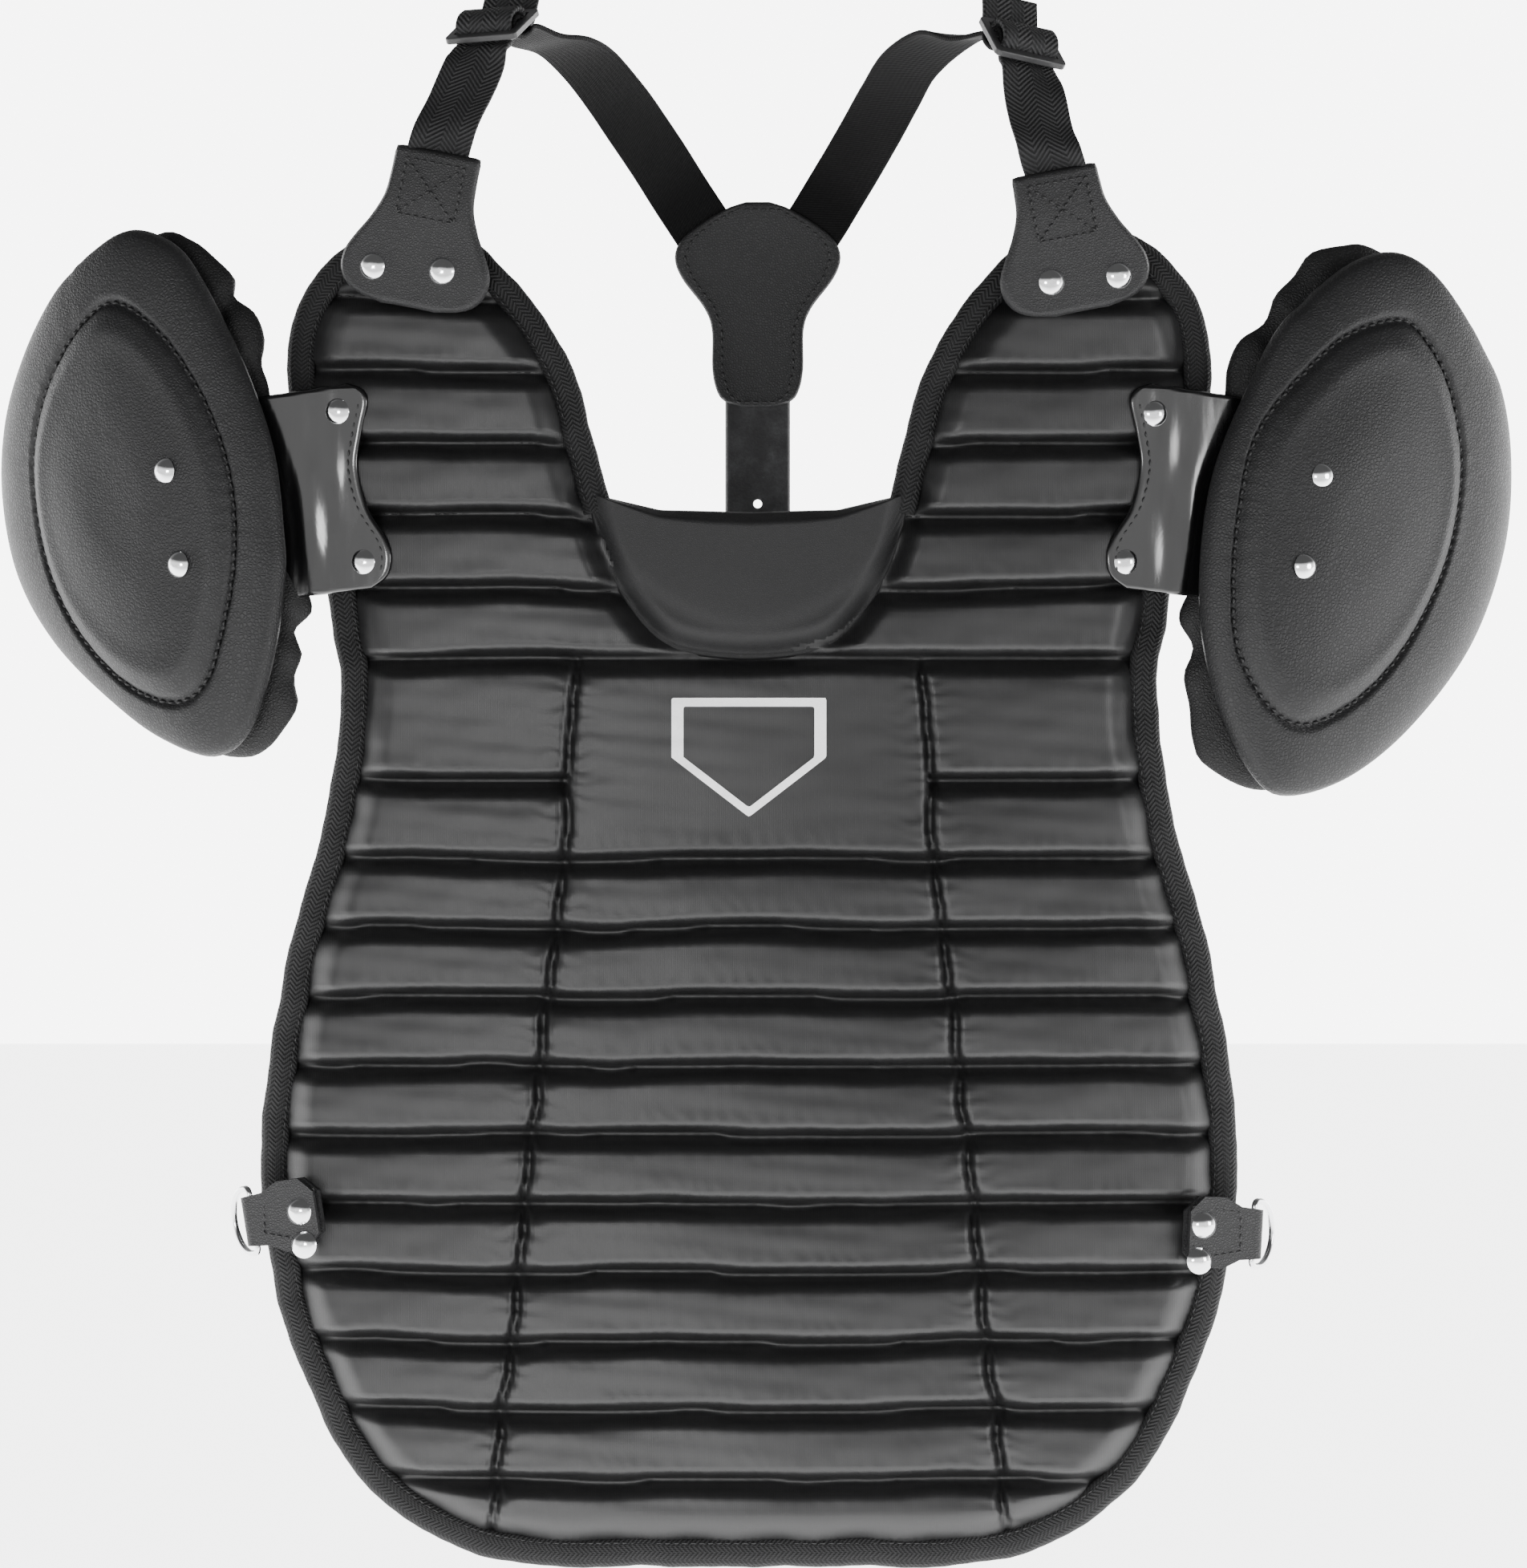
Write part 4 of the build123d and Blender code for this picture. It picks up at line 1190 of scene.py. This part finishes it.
class PROTECTOR_OT_cap_pads(bpy.types.Operator):
    """Builds the soft lobed pads behind the caps"""
    bl_idname = "protector.cap_pads"
    bl_label = "Cap pads"

    def execute(self, context):
        count, window = 220, 31
        rings = np.sin(np.linspace(0, pi / 2, 44))
        for side in SIDES:
            u, v = around(CAP_CUSHION[side], rings, turns(count))
            # The pad is thinner where its outline dips between two lobes
            away = np.hypot(u[-1], v[-1])
            lobe = away - np.convolve(np.tile(away, 3), np.ones(window) / window, "same")[count:2 * count]
            dip = 1 - 0.35 * smooth(-lobe / 2.0) * smooth((rings[:, None] - 0.4) / 0.3)
            half = cap_sizes().cushion / 2 * (1 - rings[:, None] ** 4.2) ** 0.5 * dip
            middle = -11.0 + wobble(u, v, 50, 101) * 0.6
            made = lens(side + "_cap_cushion", side, u, v, middle, half, "pad_cloth")
            hold(made, side + "_cap", "soft_backing", side + "_cap_pad")
            u, v = around(CAP_EDGE[side], [0, 0.5, 0.9, 0.95, 0.96], turns(count))
            half = np.array([1, 1, 1, 0.8, 0])[:, None]
            made = lens(side + "_cap_shell", side, u, v, -0.9, half, "stiff_plastic")
            hold(made, side + "_cap", "stiff_plastic", side + "_cap_plate")
        return {"FINISHED"}


# ---------------------------------------------------------------- straps

# Each buckle's front bar, and its directions along the strap and across it
BUCKLES = {
    "left": {"front": (-90.6, 19, 285.5), "along": (0.38, 0.81, 0.44), "across": (0.88, -0.45, 0.04)},
    "right": {"front": (95.1, 18, 278.5), "along": (-0.27, 0.77, 0.58), "across": (0.9, 0.45, -0.18)},
}
WEBBING_RUN = {
    "left": [
        (-110.5, 4.5, 225), (-105.6, 2.0, 243), (-102.3, 2.6, 254), (-97.2, 9, 265.5), (-93, 14, 275.5),
    ],
    "right": [
        (108.2, 4.5, 219), (104, 2.0, 237), (101, 1.2, 247), (98.4, 6.5, 256), (96.4, 11.5, 266),
    ],
}
ELASTIC_RUN = {
    "left": [
        (-72.5, 50, 286.5), (-63, 62, 285), (-55, 76, 279.6), (-46.1, 90, 269.3), (-38.5, 101, 258.8),
        (-31.1, 110, 248.1), (-24.2, 116, 237.3), (-17.9, 116, 227.7), (-12.5, 116, 219.5),
    ],
    "right": [
        (76.6, 48, 287.5), (65.9, 61, 287), (55, 76, 279.6), (48.4, 90, 269.3), (42.4, 101, 258.8),
        (36.1, 110, 248.1), (29.5, 116, 237.3), (23.7, 116, 227.7), (18.3, 116, 219.5),
    ],
}
# Both straps in the buckle's own plane: distance behind its front bar, and height over it
BAR_STEP = 9.5
WEBBING_LOOP = [(-3.5, -3.2), (0.6, -3.1), (2.9, -1.2), (3.4, 2.6), (6.2, 4.9), (BAR_STEP, 5.2), (13, 4.5),
                (15.6, 1.6), (16, -0.8), (17.8, -3.1), (20.5, -2.9), (25, 0.5), (31, 4.5)]
ELASTIC_LOOP = [(BAR_STEP + 2.9, -0.8), (BAR_STEP + 2.7, 1.4), (BAR_STEP, 2.7), (BAR_STEP - 2.8, 1.5),
                (BAR_STEP - 2.9, -1.8), (BAR_STEP, -4.4), (BAR_STEP + 6, -5.6), (BAR_STEP + 12, -5.8)]


def in_buckle(side, points):
    """Strap stations from places in the buckle's own plane."""
    front, along, across = (np.array(BUCKLES[side][key], float) for key in ("front", "along", "across"))
    along = unit(along)
    across = unit(across - along * (across @ along))
    over = np.cross(across, along)
    over = over if over[2] > 0 else -over
    return [(front + along * distance + over * height, across) for distance, height in points]


class PROTECTOR_OT_straps(bpy.types.Operator):
    """Threads the webbing and the elastics through their buckles"""
    bl_idname = "protector.straps"
    bl_label = "Shoulder straps"

    def execute(self, context):
        for side, sign in SIDES.items():
            run = [(place, (1, 0, -0.25 * sign)) for place in WEBBING_RUN[side]]
            run += in_buckle(side, WEBBING_LOOP)
            made = ribbon(side + "_strap_webbing", run, STRAP_WIDTH, WEBBING, "webbing", 0.9)
            top = np.array(WEBBING_RUN[side][1], float)
            bend(made, "panel", "harness", top + (0, 0, -4), top + (0, 2, 5), "webbing", side + "_webbing")
            turned = [(-0.2, 0.45), (-0.4, 0.4), (-0.5, 0.25)] + [(-0.53, 0)] * 5
            widths = [(0.86, 0.45 * sign, 0.1)] + [(0.85, y * sign, z * sign) for z, y in turned]
            run = in_buckle(side, ELASTIC_LOOP) + list(zip(ELASTIC_RUN[side], widths))
            made = ribbon(side + "_strap_elastic", run, STRAP_WIDTH, ELASTIC, "elastic", 0.9)
            hold(made, "harness", "elastic", side + "_elastic")
        return {"FINISHED"}


def punch(made, places, radius):
    """Cuts round holes through a piece, front to back."""
    turn, points, faces = turns(20), [], []
    for x, y, z in places:
        faces += [[len(points) + k for k in face] for face in tube_faces(2, len(turn))]
        points += [(x + radius * cos(t), y + depth, z + radius * sin(t)) for depth in (-6, 6) for t in turn]
    cutter = mend(build("punch", points, faces, "suede"))
    cut = made.modifiers.new("holes", "BOOLEAN")
    cut.operation, cut.object, cut.solver = "DIFFERENCE", cutter, "EXACT"
    settled = bpy.data.meshes.new_from_object(made.evaluated_get(bpy.context.evaluated_depsgraph_get()))
    made.modifiers.clear()
    made.data = settled
    bpy.data.objects.remove(cutter)


# The tails' turn through their hooks, as depth and height over the end of the tail
TAIL_FOLD = [(0, 20.4), (-2.2, 7.4), (-2.5, 1.9), (0, 0), (2.5, 1.9), (2.3, 7.4), (2.1, 16.4)]
TAIL_WIDTH, TAIL_START = 20, 11.5


class PROTECTOR_OT_back_strap(bpy.types.Operator):
    """Builds the punched suede strap down the back and the elastic tails below it"""
    bl_idname = "protector.back_strap"
    bl_label = "Back strap and tails"

    def execute(self, context):
        low, high = box_of("back_strap")
        (centre, depth, _), half, hinge = (low + high) / 2, (high[0] - low[0]) / 2, high[2]
        z = np.arange(low[2], hinge + 24, 1.0)[:, None]
        u = np.linspace(-1, 1, 23)
        bow = wobble(z, z * 0, 90, 111) * 0.25
        front = depth - SUEDE / 2 + bow + 0.2 * u**2
        spot = np.stack(np.broadcast_arrays(centre + u * half, front, z), axis=-1)
        made = slab("suede_strap", spot, FORWARD, SUEDE, "suede")
        holes = [m for m in frame["record"]["mounts"] if m["name"].startswith("strap_hole_")]
        punch(made, [np.array(m["pos_m"]) / MM for m in holes], holes[0]["dims"]["r_mm"])
        bend(made, "harness", "back_harness", (centre, depth, hinge + 6), (centre, depth, hinge - 8),
             "suede", "back_strap")
        for side, sign in SIDES.items():
            low, high = box_of(side + "_waist_tail")
            foot = high[0] - TAIL_WIDTH / 2 if sign > 0 else low[0] + TAIL_WIDTH / 2
            top = centre + sign * TAIL_START
            places = [(top, depth, high[2]), ((top + foot) / 2, depth, (high[2] + low[2]) / 2)]
            places += [(foot, depth + y, low[2] + 0.6 + height) for y, height in TAIL_FOLD]
            run = [(place, (1, 0, 0)) for place in places]
            made = ribbon(side + "_tail_elastic", run, TAIL_WIDTH, ELASTIC, "elastic", 0.8)
            hold(made, "back_harness", "elastic", side + "_waist_tail")
        return {"FINISHED"}


FITTINGS = {"rivets": "plated_steel", "d_ring": "plated_steel", "waist_hooks": "plated_steel",
            "buckle": "buckle_plastic"}


class PROTECTOR_OT_fittings(bpy.types.Operator):
    """Gives the rivets, rings, hooks and buckles their finishes"""
    bl_idname = "protector.fittings"
    bl_label = "Fittings"

    def execute(self, context):
        for name, node in frame["nodes"].items():
            for ending, look in FITTINGS.items():
                if name.endswith(ending):
                    paint(node, look)
        return {"FINISHED"}


# ---------------------------------------------------------------- stage

# Places in metres, lamp sizes in metres and powers in watts
CAMERA, AIM = (0.0049, -4.4, 0.0331), Vector((0.0049, 0.03, 0.0331))
LAMPS = (("front", (-0.9, -2.4, -0.12), 0.7, 34), ("side", (2.4, -1.2, 0.1), 0.8, 24))
FLOOR_HALF, FLOOR_DROP = 9000, 3
# The sky's strength along an axis: from, to, strength before, strength after
SKY_RISE, SKY_DEPTH = (0.06, 0.42, 1.0, 0.06), (-0.1, 0.8, 1.55, 7.0)


def pale_floor():
    """A pale floor that glows more behind the piece."""
    level = CAD_BOX[0][2] / MM - FLOOR_DROP
    corners = [(x * FLOOR_HALF, y * FLOOR_HALF, level) for x, y in ((-1, -1), (1, -1), (1, 1), (-1, 1))]
    floor = build("floor", corners, [(0, 1, 2, 3)], "white_print")
    pale = Finish("pale_floor", Roughness=0.9, Emission_Strength=4.6)
    behind = pale.band(pale.axes()[1], -700, 60)
    pale.link(Base_Color=pale.blend(pale.noise(400), (0.86, 0.86, 0.86), (0.9, 0.9, 0.9)),
              Emission_Color=pale.blend(behind, (0.22, 0.22, 0.22), (1, 1, 1)))
    floor.data.materials[0] = pale.material
    return floor


def pale_sky():
    """A white world, brighter low down and behind the piece."""
    world = bpy.data.worlds.new("pale")
    sky = Nodes(world, "BACKGROUND", Color=(1, 1, 1, 1))
    _, depth, rise = sky.split(sky.node("ShaderNodeTexCoord", output="Generated"))
    soft = {"interpolation_type": "SMOOTHSTEP"}
    shares = [sky.node("ShaderNodeMapRange", soft, [axis, *limits])
              for axis, limits in ((rise, SKY_RISE), (depth, SKY_DEPTH))]
    sky.link(Strength=shares[0] * shares[1])
    return world


class PROTECTOR_OT_stage(bpy.types.Operator):
    """Sets the pale floor, the soft lights and the camera"""
    bl_idname = "protector.stage"
    bl_label = "Stage"

    def execute(self, context):
        pale_floor()
        camera = bpy.data.objects.new("camera", bpy.data.cameras.new("camera"))
        camera.data.lens, camera.data.sensor_width, camera.data.clip_end = 300, 36, 50
        camera.location, camera.rotation_euler = CAMERA, (pi / 2, 0, 0)
        context.scene.collection.objects.link(camera)
        context.scene.camera = camera
        for name, place, size, power in LAMPS:
            lamp = bpy.data.objects.new(name, bpy.data.lights.new(name, "AREA"))
            lamp.data.size, lamp.data.energy, lamp.location = size, power, place
            lamp.rotation_euler = (AIM - Vector(place)).to_track_quat("-Z", "Y").to_euler()
            context.scene.collection.objects.link(lamp)
        context.scene.world = pale_sky()
        return {"FINISHED"}


class PROTECTOR_PT_panel(bpy.types.Panel):
    """Lists the steps that build the chest protector"""
    bl_idname = "PROTECTOR_PT_panel"
    bl_label = "Chest protector"
    bl_space_type = "VIEW_3D"
    bl_region_type = "UI"
    bl_category = "Protector"

    def draw(self, context):
        for step in STEPS:
            self.layout.operator(step.bl_idname)
        for key in GROUPS:
            group, box = getattr(context.scene, key), self.layout.box()
            for name in shown(group):
                box.prop(group, name)


STEPS = (
    PROTECTOR_OT_stage, PROTECTOR_OT_cover, PROTECTOR_OT_lining, PROTECTOR_OT_binding, PROTECTOR_OT_collar,
    PROTECTOR_OT_mark, PROTECTOR_OT_shoulder_tabs, PROTECTOR_OT_patches, PROTECTOR_OT_side_tabs,
    PROTECTOR_OT_flaps, PROTECTOR_OT_caps, PROTECTOR_OT_cap_pads, PROTECTOR_OT_straps,
    PROTECTOR_OT_back_strap, PROTECTOR_OT_fittings,
)
GROUPS = {"protector_panel": PanelSizes, "protector_cap": CapSizes, "protector_colours": Colours}


def register():
    for kind in (*GROUPS.values(), *STEPS, PROTECTOR_PT_panel):
        bpy.utils.register_class(kind)
    for name, kind in GROUPS.items():
        setattr(bpy.types.Scene, name, bpy.props.PointerProperty(type=kind))


def unregister():
    for name in GROUPS:
        delattr(bpy.types.Scene, name)
    for kind in (PROTECTOR_PT_panel, *STEPS[::-1], *GROUPS.values()):
        bpy.utils.unregister_class(kind)


def main():
    register()
    for step in STEPS:
        group, name = step.bl_idname.split(".")
        getattr(getattr(bpy.ops, group), name)()


if __name__ == "__main__":
    main()
